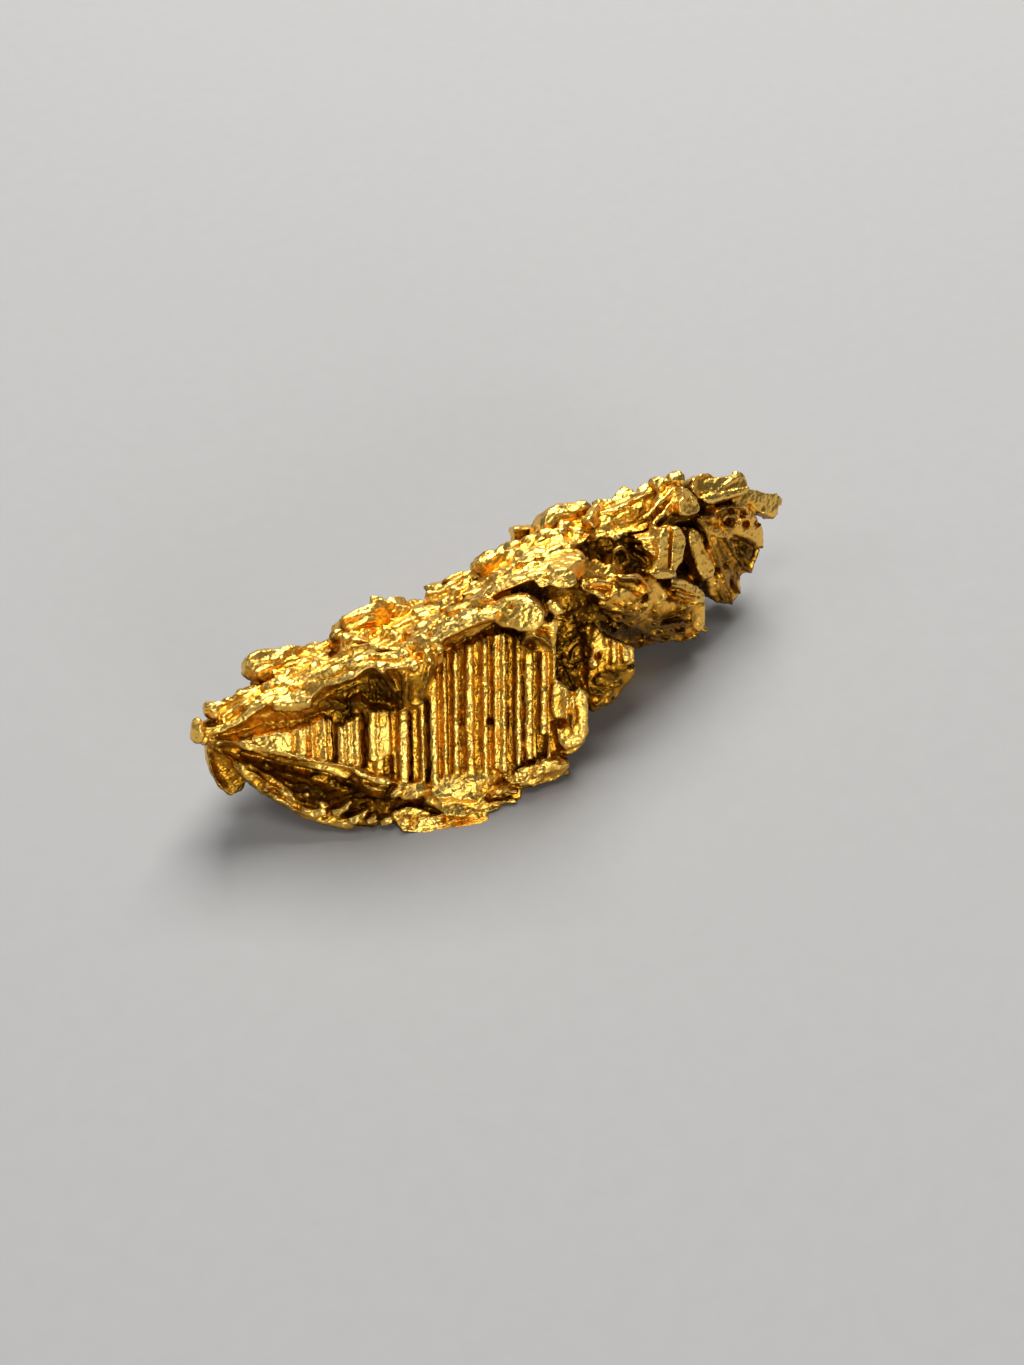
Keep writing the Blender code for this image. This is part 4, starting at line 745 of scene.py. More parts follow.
# Sheaves of fibrous ridges between two traced paths: on, count, width, height, facing, paths
SHEAVES = {
    "recess_flutes": ("core", 7, 0.2, 0.34, FRONT,
                      [(556, 604, 0.1), (556, 640, 0.1), (556, 690, 0.1)],
                      [(589, 604, 0.1), (584, 640, 0.1), (580, 672, 0.1)]),
    "crest_left": ("core", 6, 0.3, 0.3, OUT,
                   [(226, 714, 0.04), (262, 688, 0.04), (300, 666, 0.04), (340, 644, 0.04),
                    (400, 630, 0.04), (430, 622, 0.04)],
                   [(240, 712, 0.04), (266, 700, 0.04), (303, 688, 0.04), (320, 681, 0.04),
                    (360, 666, 0.04), (410, 656, 0.04)]),
    "sweep": ("core", 10, 0.26, 0.34, OUT,
              [(440, 604, 0.06), (470, 578, 0.06), (500, 562, 0.06), (530, 545, 0.06),
               (575, 520, 0.06)],
              [(438, 630, 0.06), (470, 612, 0.06), (492, 592, 0.06), (520, 577, 0.06),
               (556, 564, 0.06)]),
    "crest_right": ("core", 10, 0.24, 0.34, OUT,
                    [(560, 522, 0.06), (600, 506, 0.06), (630, 498, 0.06), (655, 488, 0.06),
                     (680, 480, 0.06)],
                    [(568, 552, 0.06), (600, 536, 0.06), (632, 534, 0.06), (652, 528, 0.06),
                     (684, 510, 0.06)]),
    "crest_facets": ("core", 5, 0.2, 0.3, OUT,
                     [(648, 512, 0.12), (658, 502, 0.12), (668, 492, 0.12), (678, 484, 0.12)],
                     [(656, 530, 0.12), (666, 520, 0.12), (674, 508, 0.12), (680, 496, 0.12)]),
    "front_mass": ("y", 8, 0.22, 0.4, FRONT,
                   [(592, 600, -2.5), (620, 606, -2.7), (650, 616, -2.6), (690, 608, -2.2)],
                   [(606, 616, -2.3), (630, 630, -2.4), (655, 639, -2.3), (692, 638, -2.1)]),
    "plate_lines": ("y", 5, 0.11, 0.2, FRONT,
                    [(663, 532, -0.75), (662, 552, -1.15), (657, 570, -1.6)],
                    [(684, 534, -0.7), (682, 556, -1.1), (676, 570, -1.45)]),
    "keel_lines": ("panel", 5, 0.16, 0.24, OUT,
                   [(404, 822, 0.45), (430, 817, 0.42), (462, 813, 0.42), (482, 814, 0.4)],
                   [(404, 829, 0.45), (430, 832, 0.42), (462, 832, 0.42), (484, 831, 0.4)]),
    "rim_lines": ("panel", 6, 0.2, 0.3, OUT,
                  [(432, 792, 0.35), (460, 796, 0.3), (490, 786, 0.1), (520, 790, 0.1)],
                  [(436, 808, 0.4), (462, 812, 0.4), (490, 806, 0.3), (518, 804, 0.2)]),
    "plate_ridges": ("panel", 5, 0.2, 0.26, OUT,
                     [(500, 770, 0.1), (530, 762, 0.1), (560, 760, 0.2)],
                     [(508, 788, 0.1), (536, 786, 0.05), (566, 772, 0.1)]),
    "lobe_lines": ("y", 4, 0.16, 0.2, OUT,
                   [(348, 622, 3.1), (365, 610, 3.35), (386, 606, 3.3)],
                   [(352, 630, 2.7), (368, 622, 2.7), (390, 620, 2.8)]),
    "under_lines": ("panel", 6, 0.2, 0.3, FRONT,
                    [(588, 672, -0.9), (606, 672, -0.9), (630, 672, -1.2)],
                    [(592, 708, -1.2), (606, 706, -1.3), (618, 694, -1.35)]),
}

# Lumps: (on, width, thick, facing, start, end)
LUMPS = {
    "tip_knob": ("y", 1.0, 1.0, OUT, (193, 744, 0.9), (195, 722, 1.0)),
    "tip_nub": ("y", 0.5, 0.6, OUT, (196, 742, 0.9), (206, 738, 0.7)),
    "tip_knob_two": ("y", 1.1, 0.9, OUT, (209, 715, 1.2), (213, 707, 1.4)),
    "back_knob": ("y", 0.9, 0.8, OUT, (249, 685, 1.1), (253, 679, 1.2)),
    "crest_knob_a": ("y", 0.6, 0.6, OUT, (334, 640, 2.4), (341, 631, 2.6)),
    "nose_knob": ("core", 0.32, 0.4, OUT, (428, 661, 0.3), (433, 663, 0.3)),
    "crest_knob_b": ("y", 0.75, 0.7, OUT, (450, 592, 2.4), (461, 589, 2.4)),
    "crest_knob_c": ("y", 1.0, 0.8, OUT, (474, 568, 2.8), (494, 556, 2.8)),
    "crest_knob_d": ("y", 0.8, 0.8, OUT, (506, 550, 2.6), (520, 544, 2.6)),
    "crest_knob_e": ("y", 0.8, 0.8, OUT, (524, 544, 2.3), (540, 538, 2.3)),
    "crest_knob_f": ("y", 0.9, 0.8, OUT, (652, 488, 1.5), (664, 482, 1.5)),
    "crest_knob_g": ("y", 0.8, 0.8, OUT, (668, 480, 1.4), (682, 476, 1.4)),
    "block_knob": ("panel", 0.55, 0.55, OUT, (572, 671, 0.45), (581, 676, 0.45)),
    "hole_bead_a": ("y", 0.24, 0.3, FRONT, (587, 560, -0.5), (589, 560, -0.5)),
    "hole_bead_b": ("y", 0.26, 0.3, FRONT, (594, 561, -0.5), (597, 561, -0.5)),
    "keel_lump_a": ("core", 0.4, 0.5, OUT, (412, 825, 0.1), (424, 822, 0.15)),
    "keel_lump_b": ("core", 0.4, 0.5, OUT, (420, 832, 0.1), (440, 828, 0.15)),
    "rim_knob_a": ("panel", 0.5, 0.6, OUT, (390, 797, 0.2), (404, 788, 0.25)),
    "hollow_fill_a": ("panel", 0.6, 0.6, FRONT, (300, 802, -0.55), (313, 807, -0.45)),
    "hollow_fill_b": ("panel", 0.6, 0.6, FRONT, (321, 810, -0.4), (335, 814, -0.3)),
    "rim_knob_b": ("panel", 0.35, 0.4, OUT, (392, 805, 0.2), (400, 803, 0.2)),
}

# Hollows pressed in along a path: (width, depth, path) in mm on the core
GROOVES = {
    "band_a": (0.45, 0.26, [(304, 681), (318, 673), (330, 665), (346, 658)]),
    "band_b": (0.32, 0.22, [(280, 694), (292, 688), (304, 683)]),
    "band_c": (0.36, 0.28, [(333, 655), (348, 648), (366, 648), (384, 650), (398, 642), (407, 635)]),
    "band_d": (0.36, 0.16, [(355, 662), (372, 656), (390, 655)]),
    "leaf_a": (0.45, 0.2, [(230, 717), (243, 709)]),
    "leaf_b": (0.4, 0.16, [(253, 698), (263, 690)]),
    "lobe_line_a": (0.16, 0.12, [(352, 617), (368, 610), (384, 608)]),
    "lobe_line_b": (0.2, 0.16, [(348, 627), (366, 618), (386, 614)]),
    "lobe_line_c": (0.2, 0.14, [(340, 633), (352, 629), (364, 628)]),
    "back_line_a": (0.16, 0.1, [(258, 661), (275, 659)]),
    "back_line_b": (0.14, 0.08, [(262, 669), (280, 667), (296, 662)]),
    "ledge_line_a": (0.34, 0.22, [(452, 618), (466, 610), (480, 606), (489, 607)]),
    "ledge_line_b": (0.3, 0.18, [(434, 623), (446, 612), (460, 602), (470, 597)]),
    "sweep_hollow_a": (0.34, 0.2, [(487, 592), (497, 583), (508, 576)]),
    "sweep_hollow_b": (0.4, 0.16, [(510, 573), (524, 566), (545, 561)]),
    "sweep_hollow_c": (0.3, 0.18, [(470, 584), (482, 577), (494, 570)]),
    "trough": (0.6, 0.4, [(585, 582), (604, 588), (625, 586), (642, 596)]),
    "crest_line_d": (0.3, 0.18, [(660, 515), (668, 505), (676, 496)]),
    "crest_line_e": (0.3, 0.15, [(600, 515), (620, 512), (640, 500)]),
    "heart_slot": (0.5, 0.5,
                   [(676, 506), (679, 498), (683, 491)]),
    "mouth_slot_a": (0.7, 0.7,
                     [(582, 556), (592, 547), (606, 547), (616, 546)]),
    "mouth_slot_b": (0.7, 0.7,
                     [(600, 558), (606, 562), (612, 560)]),
    "mouth_slot_c": (0.6, 0.7,
                     [(626, 545), (636, 551), (648, 560), (656, 566)]),
    "recess": (1.7, 0.8,
               [(571, 604), (569, 640), (566, 676)]),
    "fan_gap_a": (0.3, 0.5,
                  [(702, 534), (711, 556), (720, 580), (727, 602)]),
    "fan_gap_b": (0.28, 0.45,
                  [(712, 534), (722, 554), (731, 578)]),
    "fan_gap_c": (0.28, 0.45,
                  [(724, 540), (733, 555), (741, 572), (740, 590)]),
    "fan_gap_d": (0.4, 0.6,
                  [(736, 544), (745, 553), (748, 562)]),
    "lobe_dish_a": (0.5, 0.35,
                    [(700, 487), (714, 482), (728, 479)]),
    "lobe_dish_b": (0.4, 0.3,
                    [(714, 497), (726, 491), (737, 485)]),
    "front_gap_a": (0.3, 0.3,
                    [(606, 606), (618, 614), (632, 618), (644, 618)]),
    "front_gap_b": (0.3, 0.3,
                    [(634, 618), (648, 622), (664, 618), (684, 612)]),
    "front_gap_c": (0.3, 0.3,
                    [(640, 630), (660, 628), (680, 626)]),
    "rim_gap_a": (0.34, 0.5,
                  [(432, 801), (446, 800), (460, 801), (476, 805), (492, 806)]),
    "rim_gap_b": (0.3, 0.5,
                  [(458, 780), (460, 790), (462, 798)]),
    "rim_gap_c": (0.3, 0.45,
                  [(424, 812), (440, 817), (460, 818), (480, 813)]),
    "rim_gap_d": (0.3, 0.4,
                  [(490, 786), (493, 798)]),
}

# Holes pressed in along the line of sight: (across, down, radius, depth)
PITS = {
    "lobe_pit": (280, 677, 0.26, 0.16), "nose_hole": (419, 657, 0.28, 0.5),
    "flute_hole": (490, 721, 0.2, 0.7), "tongue_pit": (511, 607, 0.16, 0.3),
    "tongue_end_pit": (530, 645, 0.3, 0.5), 
    "ring_pit": (619, 557, 0.22, 0.5),
    "pocket": (744, 549, 0.55, 0.8),
    "rock_pit_a": (731, 511, 0.2, 0.7), "rock_pit_b": (742, 514, 0.18, 0.6),
    "rock_pit_c": (728, 522, 0.26, 0.6), "rock_pit_d": (746, 524, 0.24, 0.7),
    "rock_pit_e": (757, 523, 0.2, 0.6), "rock_pit_f": (717, 514, 0.16, 0.4),
    "rock_pit_g": (738, 521, 0.14, 0.4), "block_hole": (561, 723, 0.3, 0.5),
    "plate_hole": (538, 762, 0.18, 0.3), "crest_pit_a": (652, 507, 0.14, 0.2),
    "crest_pit_b": (675, 485, 0.14, 0.2), "crest_pit_c": (580, 515, 0.15, 0.2),
    "top_pit_a": (705, 505, 0.1, 0.15), "top_pit_b": (716, 503, 0.12, 0.15),
}


def unit(vector):
    vector = np.asarray(vector, float)
    return vector / np.linalg.norm(vector, axis=-1, keepdims=True)


def ray(u, v):
    """The line of sight through a point of the camera's frame."""
    return (AHEAD + ACROSS * ((np.asarray(u, float)[..., None] - FRAME_WIDE / 2) / FOCAL)
            - ABOVE * ((np.asarray(v, float)[..., None] - FRAME_HIGH / 2) / FOCAL))


def meet(points, plane):
    """Where the lines of sight through (u, v) meet a plane that is moved out by d."""
    points = np.asarray(points, float)
    rays = ray(points[:, 0], points[:, 1])
    normal, base = PLANES[plane]
    reach = (base @ normal + points[:, 2] - EYE @ normal) / (rays @ normal)
    return EYE + rays * reach[:, None]


def rail_points(rail):
    """A rail's points in mm: as given, or traced ones between a given head and tail."""
    if isinstance(rail, tuple):
        head, traced, tail = rail
        rail = np.concatenate([head, meet(traced, "panel"), tail])
    rail = np.asarray(rail, float)
    return rail[np.argsort(rail[:, 0])]


def fixed(rail, stations):
    """A rail's (x, y, z) at the stations: straight runs between its points."""
    points = rail_points(rail)
    return np.stack([stations, np.interp(stations, points[:, 0], points[:, 1]),
                     np.interp(stations, points[:, 0], points[:, 2])], 1)


def shell(rings):
    """A closed skin: rings of points joined in order, each end drawn to its own middle."""
    count, around = rings.shape[:2]
    verts = np.concatenate([rings.reshape(-1, 3), rings[:1].mean(1), rings[-1:].mean(1)])
    step, turn = np.arange(count - 1)[:, None] * around, np.arange(around)[None]
    onward = (turn + 1) % around
    a, b = (step + turn).ravel(), (step + onward).ravel()
    c, d = b + around, a + around
    low, high = count * around, (count - 1) * around
    turn, onward = turn.ravel(), onward.ravel()
    ends = np.full(around, low)
    faces = [np.stack([a, b, c], 1), np.stack([a, c, d], 1),
             np.stack([ends, onward, turn], 1), np.stack([ends + 1, high + turn, high + onward], 1)]
    return verts, np.concatenate(faces)


def core():
    """The mass that all grows from: at each station the rails make a ring, each side of the
    ring is divided evenly, and the rings follow one another from tip to tip."""
    stations = np.linspace(TIP_LEFT, TIP_RIGHT, 260)
    rails = np.stack([fixed(rail, stations) for rail in SECTION], 1)
    share = np.arange(8)[None, None, :, None] / 8
    between = rails[:, :, None] * (1 - share) + np.roll(rails, -1, 1)[:, :, None] * share
    return shell(between.reshape(len(stations), -1, 3))


SECTION = [CREST, LEDGE, BROW, HEAD, PANEL_TOP, PANEL_FOOT, RIM, RIM_UNDER, HOLLOW, RIB,
           BELLY, BACK_FOOT, BACK_RIDGE, BACK_SHOULDER]
CORE = core()
CORE_TREE = BVHTree.FromPolygons(CORE[0].tolist(), CORE[1].tolist())


def sight(points, on="core"):
    """Points (u, v, d) of the camera's frame as (x, y, z): where the line of sight through
    (u, v) meets the core, then d towards the eye, or where it meets a plane d away."""
    points = np.asarray(points, float)
    if on != "core":
        return meet(points, on)
    found = []
    for line, lift in zip(unit(ray(points[:, 0], points[:, 1])), points[:, 2]):
        hit = CORE_TREE.ray_cast(Vector(EYE), Vector(line))[0]
        if hit is None:
            steps = EYE + line * np.linspace(DISTANCE - 20, DISTANCE + 20, 161)[:, None]
            gaps = [CORE_TREE.find_nearest(Vector(step))[3] for step in steps]
            hit = steps[int(np.argmin(gaps))]
        found.append(np.array(hit) - line * lift)
    return np.array(found)


def pose(start, end, facing):
    """The frame of a crystal: its length, its side and its face, and how long it is."""
    start, end = np.asarray(start, float), np.asarray(end, float)
    run = unit(end - start)
    side = unit(np.cross(facing, run))
    return (start + end) / 2, np.stack([run, side, np.cross(run, side)]), np.linalg.norm(end - start)


POLAR = np.linspace(0, math.pi, 27)[1:-1, None]
TURN = np.linspace(0, 2 * math.pi, 44, endpoint=False)[None]
DIRECTIONS = np.stack([np.cos(POLAR) + 0 * TURN, np.sin(POLAR) * np.cos(TURN),
                       np.sin(POLAR) * np.sin(TURN)], 2)


def crystal(start, end, width, thick, facing, taper=0.8, crisp=9.0, cant=0.12, seed=1):
    """A crystal with flat faces: in each direction its reach is (sum of (n.d / h)^p)^(-1/p)
    over its faces, n their normals and h their distances, so that a large p gives crisp edges
    and a small one a lump.  It is then stretched to its size and drawn in towards its end."""
    draw = np.random.default_rng(seed)
    middle, axes, length = pose(start, end, facing)
    faces = np.concatenate([np.eye(3), -np.eye(3), unit(draw.normal(size=(5, 3)))])
    faces = unit(faces + draw.normal(size=faces.shape) * cant)
    away = np.concatenate([np.ones(6), draw.uniform(1.05, 1.45, 5)])
    toward = np.maximum(DIRECTIONS @ faces.T, 0) / away
    reach = (toward ** crisp).sum(2) ** (-1 / crisp)
    form = DIRECTIONS * reach[..., None]
    drawn = 1 - (1 - taper) * (form[..., 0:1] + 1) / 2
    half = np.array([length + 0.3 * width, width, thick]) / 2
    form = form * half * np.concatenate([np.ones_like(drawn), drawn, 0.5 + 0.5 * drawn], 2)
    return shell(middle + form @ axes)


def lump(start, end, width, thick, facing, seed=1):
    """A rounded lump: a crystal with a small p and faces that lean a little."""
    return crystal(start, end, width, thick, facing, taper=0.9, crisp=2.6, cant=0.05, seed=seed)


def ridge(path, width, height, facing, square=2.6, waver=0.0, seed=1, end=0.5):
    """A profile carried along a path: a superellipse |y/w|^q + |z/h|^q = 1 stood across the
    path, whose size wavers slowly and closes to a round end over the last share of it."""
    path = np.asarray(path, float)
    draw = np.random.default_rng(seed)
    gone = np.concatenate([[0], np.cumsum(np.linalg.norm(np.diff(path, axis=0), axis=1))])
    count = max(16, int(gone[-1] / 0.08))
    at = np.linspace(0, gone[-1], count)
    line = np.stack([np.interp(at, gone, path[:, axis]) for axis in range(3)], 1)
    run = unit(np.gradient(line, axis=0))
    side = unit(np.cross(facing, run))
    face = np.cross(run, side)
    knots = max(4, int(gone[-1] / 0.35))
    sway = np.interp(at, np.linspace(0, gone[-1], knots), draw.normal(size=knots))[:, None]
    stray = np.interp(at, np.linspace(0, gone[-1], knots), draw.normal(size=knots))[:, None]
    near = np.minimum(at, gone[-1] - at)[:, None] / (end * width)
    close = np.sqrt(np.clip(1 - (1 - np.clip(near, 0, 1)) ** 2, 0.0004, 1))
    angle = np.linspace(0, 2 * math.pi, 28, endpoint=False)[None]
    across = np.sign(np.cos(angle)) * np.abs(np.cos(angle)) ** (2 / square)
    proud = np.sign(np.sin(angle)) * np.abs(np.sin(angle)) ** (2 / square)
    wide = (width / 2) * (1 + waver * sway) * close
    high = (height / 2) * (1 + waver * stray) * close
    line = line + side * sway * waver * width * 0.4
    rings = line[:, None] + side[:, None] * (across * wide)[..., None] \
        + face[:, None] * (proud * high)[..., None]
    return shell(rings)


def plate(outline, thick, crown=0.0, edge=0.08, lean=0.0, seed=1):
    """A plate whose face has a traced outline: the outline is carried from the middle of the
    face out to its edge, round the edge, down its side and in to the middle of its back.
    The face is domed by the crown, or dished where the crown is below nought."""
    outline = np.asarray(outline, float)
    middle = outline.mean(0)
    closed = np.concatenate([outline, outline[:1]])
    gone = np.concatenate([[0], np.cumsum(np.linalg.norm(np.diff(closed, axis=0), axis=1))])
    at = np.linspace(0, gone[-1], 64, endpoint=False)
    ring = np.stack([np.interp(at, gone, closed[:, axis]) for axis in range(3)], 1)
    spokes = ring - middle
    normal = unit(np.cross(spokes, np.roll(spokes, -1, 0)).sum(0))
    normal = normal if normal @ AHEAD < 0 else -normal
    reach = np.linalg.norm(spokes, axis=1)[:, None]
    corner = np.linspace(0, math.pi / 2, 4)
    share = np.concatenate([np.linspace(0.02, 1, 12), np.ones(3 + 5), np.linspace(1, 0.02, 8)[1:]])
    inset = np.concatenate([np.full(12, edge), edge * (1 - np.sin(corner[1:])), np.full(5, 0.0),
                            np.linspace(0, 0.3 * thick, 7)])
    down = np.concatenate([np.zeros(12), edge * (1 - np.cos(corner[1:])),
                           np.linspace(edge, thick, 5), np.full(7, thick)])
    dome = np.concatenate([crown * (1 - np.linspace(0.02, 1, 12) ** 2), np.zeros(15)])
    scale = np.clip(share[:, None, None] * (1 - np.minimum(inset[:, None, None] / reach, 0.9)), 0, 1)
    back = unit(-normal + lean * AHEAD)
    rings = middle + spokes[None] * scale + back * down[:, None, None] + normal * dome[:, None, None]
    return shell(rings)


def field(points, size, seed):
    """A smooth random field from -1 to 1: values at the corners of a lattice of the given
    size, blended between them with 3t^2 - 2t^3."""
    table = np.random.default_rng(seed).uniform(-1, 1, 4096)
    place = points / np.asarray(size)
    corner = np.floor(place).astype(np.int64)
    part = place - corner
    part = part * part * (3 - 2 * part)
    total = 0.0
    for offset in np.ndindex(2, 2, 2):
        x, y, z = (corner + offset).T
        value = table[(x * 73856093 ^ y * 19349663 ^ z * 83492791) & 4095]
        weight = np.where(offset, part, 1 - part).prod(1)
        total = total + value * weight
    return total


def chips(points, size, seed):
    """A chipped face: every point takes the least, over the seeds strewn one to a cell, of
    r^2 + tilt . r, where r runs from the seed in cells and the tilt is the seed's own.  So each
    chip is a leaning dish and the rims between them are sharp."""
    table = np.random.default_rng(seed).uniform(0, 1, (4096, 6))
    place = points / np.asarray(size)
    corner = np.floor(place).astype(np.int64)
    height = np.full(len(points), 9.0)
    for offset in np.ndindex(3, 3, 3):
        cell = corner + np.array(offset) - 1
        x, y, z = cell.T
        row = table[(x * 73856093 ^ y * 19349663 ^ z * 83492791) & 4095]
        run = place - cell - row[:, :3]
        height = np.minimum(height, (run * (run + (row[:, 3:] - 0.5) * 1.2)).sum(1))
    return height - 0.2


def ease(value, low, high):
    """0 below low, 1 above high, and 3t^2 - 2t^3 between."""
    share = np.clip((value - low) / (high - low), 0, 1)
    return share * share * (3 - 2 * share)


def to_mesh(name, verts, faces):
    """A mesh in metres from points in mm and triangles."""
    mesh = bpy.data.meshes.new(name)
    mesh.vertices.add(len(verts))
    mesh.vertices.foreach_set("co", (verts * MM).astype(np.float32).ravel())
    mesh.loops.add(faces.size)
    mesh.loops.foreach_set("vertex_index", faces.astype(np.int32).ravel())
    mesh.polygons.add(len(faces))
    mesh.polygons.foreach_set("loop_start", np.arange(0, faces.size, 3, dtype=np.int32))
    mesh.update(calc_edges=True)
    return mesh


def points_of(mesh):
    """A mesh's points in mm and its normals."""
    verts = np.empty(len(mesh.vertices) * 3, np.float32)
    mesh.vertices.foreach_get("co", verts)
    normals = np.empty(len(mesh.vertices) * 3, np.float32)
    mesh.vertex_normals.foreach_get("vector", normals)
    return verts.reshape(-1, 3).astype(float) / MM, normals.reshape(-1, 3).astype(float)


def move_to(mesh, verts):
    mesh.vertices.foreach_set("co", (verts * MM).astype(np.float32).ravel())
    mesh.update()


def finished(piece, kind, **settings):
    """Gives a piece one modifier and takes what it makes as the piece's mesh."""
    modifier = piece.modifiers.new(kind.lower(), kind)
    for setting, value in settings.items():
        setattr(modifier, setting, value)
    graph = bpy.context.evaluated_depsgraph_get()
    made = bpy.data.meshes.new_from_object(piece.evaluated_get(graph))
    piece.modifiers.clear()
    old, piece.data = piece.data, made
    bpy.data.meshes.remove(old)


def smoothed(verts, edges, rounds):
    """Each value moved to the mean of its neighbours, so many times."""
    count = np.bincount(edges.ravel(), minlength=len(verts))[:, None]
    for _ in range(rounds):
        total = np.stack([np.bincount(edges[:, 0], verts[edges[:, 1], axis], len(verts))
                          + np.bincount(edges[:, 1], verts[edges[:, 0], axis], len(verts))
                          for axis in range(verts.shape[1])], 1)
        verts = total / count
    return verts


def flutes():
    """The upright flutes: square profiles carried up the panel from its foot, each with its own
    width, its own foot and its own stand off the bed."""
    for item, (across, wide, foot, proud) in enumerate(FLUTES):
        head = np.interp(across, *np.transpose(FLUTE_HEADS))
        proud = proud * FLUTE_RISE
        ends = sight([(across, foot, FLUTE_BED + proud / 2), (across, head, FLUTE_BED + proud / 2)],
                     "panel")
        length = (ends[1] - ends[0]) @ FLUTE_RUN
        low = ends.mean(0) - FLUTE_RUN * length / 2
        steps = np.linspace(0, length, 12)[:, None]
        yield ridge(low + FLUTE_RUN * steps, wide / FLUTE_SCALE, proud + 0.5, FLUTE_NORMAL,
                    square=5.0, waver=0.05, seed=200 + item, end=0.25)


def scatter(near, far, left, right, count, size, stretch, facing, seed):
    """Crystals grown at random spots between two rails, each turned and leaning its own way."""
    draw = np.random.default_rng(seed)
    for item in range(count):
        x = left + (right - left) * (item + draw.random()) / count
        ends = fixed(near, np.array([x]))[0], fixed(far, np.array([x]))[0]
        middle = ends[0] + (ends[1] - ends[0]) * draw.random()
        plump = math.sin(math.pi * (x - TIP_LEFT) / (TIP_RIGHT - TIP_LEFT))
        girth = size * draw.uniform(0.45, 1.15) * (0.45 + 0.55 * plump)
        turn = draw.normal() * 0.45
        run = np.array([math.cos(turn), math.sin(turn), draw.uniform(-0.35, 0.35)])
        reach = run * girth * draw.uniform(0.6, stretch) * 0.5
        lean = np.array(facing) + draw.uniform(-0.5, 0.5, 3)
        yield crystal(middle - reach, middle + reach, girth * draw.uniform(0.5, 0.9),
                      girth * draw.uniform(0.6, 0.9), lean, draw.uniform(0.4, 0.95),
                      crisp=draw.choice([5.0, 9.0, 14.0]), seed=seed * 1000 + item)


def sheaf(count, width, height, facing, near, far, seed):
    """Thin ridges side by side: the i-th follows near * (1 - s) + far * s, s = (i + a little)
    / count.  Each starts and stops at its own share of the way, and its path strays a little."""
    draw = np.random.default_rng(seed)
    even = np.linspace(0, 1, 24)[:, None]
    sides = [np.stack([np.interp(even[:, 0], np.linspace(0, 1, len(path)), path[:, axis])
                       for axis in range(3)], 1) for path in (near, far)]
    for item in range(count * 2):
        share = (item + draw.uniform(0.1, 0.9)) / (count * 2)
        start = draw.uniform(0.0, 0.6)
        stop = min(1.0, start + draw.uniform(0.25, 0.6))
        at = np.linspace(start, stop, 12)
        line = sides[0] * (1 - share) + sides[1] * share
        line = np.stack([np.interp(at, even[:, 0], line[:, axis]) for axis in range(3)], 1)
        line = line + draw.normal(size=(12, 3)) * width * 0.12
        scale = draw.uniform(0.6, 1.4)
        yield ridge(line, width * scale, height * scale, facing, 2.4, 0.2, seed * 100 + item)


def growth():
    """Every form that the nugget is grown from."""
    yield CORE
    for item, (start, end, width, thick, facing, taper) in enumerate(BLOCKS):
        yield crystal(start, end, width, thick, facing, taper, seed=item)
    for item, (start, end, width, thick, facing) in enumerate(LOBES):
        yield lump(start, end, width, thick, facing, seed=60 + item)
    yield from flutes()
    for on, thick, crown, edge, outline in PLATES.values():
        yield plate(sight(outline, on), thick, crown, edge)
    for item, (on, width, height, facing, square, waver, path) in enumerate(RIDGES.values()):
        yield ridge(sight(path, on), width, height, facing, square, waver, seed=item)
    for item, (on, count, width, height, facing, near, far) in enumerate(SHEAVES.values()):
        yield from sheaf(count, width, height, facing, sight(near, on), sight(far, on), 500 + item)
    for item, (on, width, thick, facing, start, end) in enumerate(LUMPS.values()):
        yield lump(*sight([start, end], on), width, thick, facing, seed=item)
    for item, patch in enumerate(PATCHES):
        yield from scatter(*patch, seed=item + 1)


def press(verts, normals):
    """Grooves and pits: points near a groove's path sink along their normals, and points near
    a pit's line of sight sink along it, by (1 - (r / R)^2)^2 of its depth."""
    pushed = verts.copy()
    facing = normals @ AHEAD < 0.15
    for width, depth, path in GROOVES.values():
        line = sight([(u, v, 0.1) for u, v in path])
        away = np.full(len(verts), 9.0)
        for start, end in zip(line, line[1:]):
            run = end - start
            share = np.clip((verts - start) @ run / (run @ run), 0, 1)
            away = np.minimum(away, np.linalg.norm(verts - start - share[:, None] * run, axis=1))
        sink = np.clip(1 - (away / (width * 0.75)) ** 2, 0, 1) ** 2 * depth * facing
        pushed -= normals * sink[:, None]
    depths = (verts - EYE) @ AHEAD
    across = FRAME_WIDE / 2 + FOCAL * ((verts - EYE) @ ACROSS) / depths
    down = FRAME_HIGH / 2 - FOCAL * ((verts - EYE) @ ABOVE) / depths
    for u, v, radius, depth in PITS.values():
        away = np.hypot(across - u, down - v) / FLUTE_SCALE / radius
        near = away < 1
        front = depths[near & facing].min()
        near &= depths < front + 0.9
        pushed[near] += AHEAD * (((1 - away[near] ** 2) ** 2) * depth)[:, None]
    return pushed


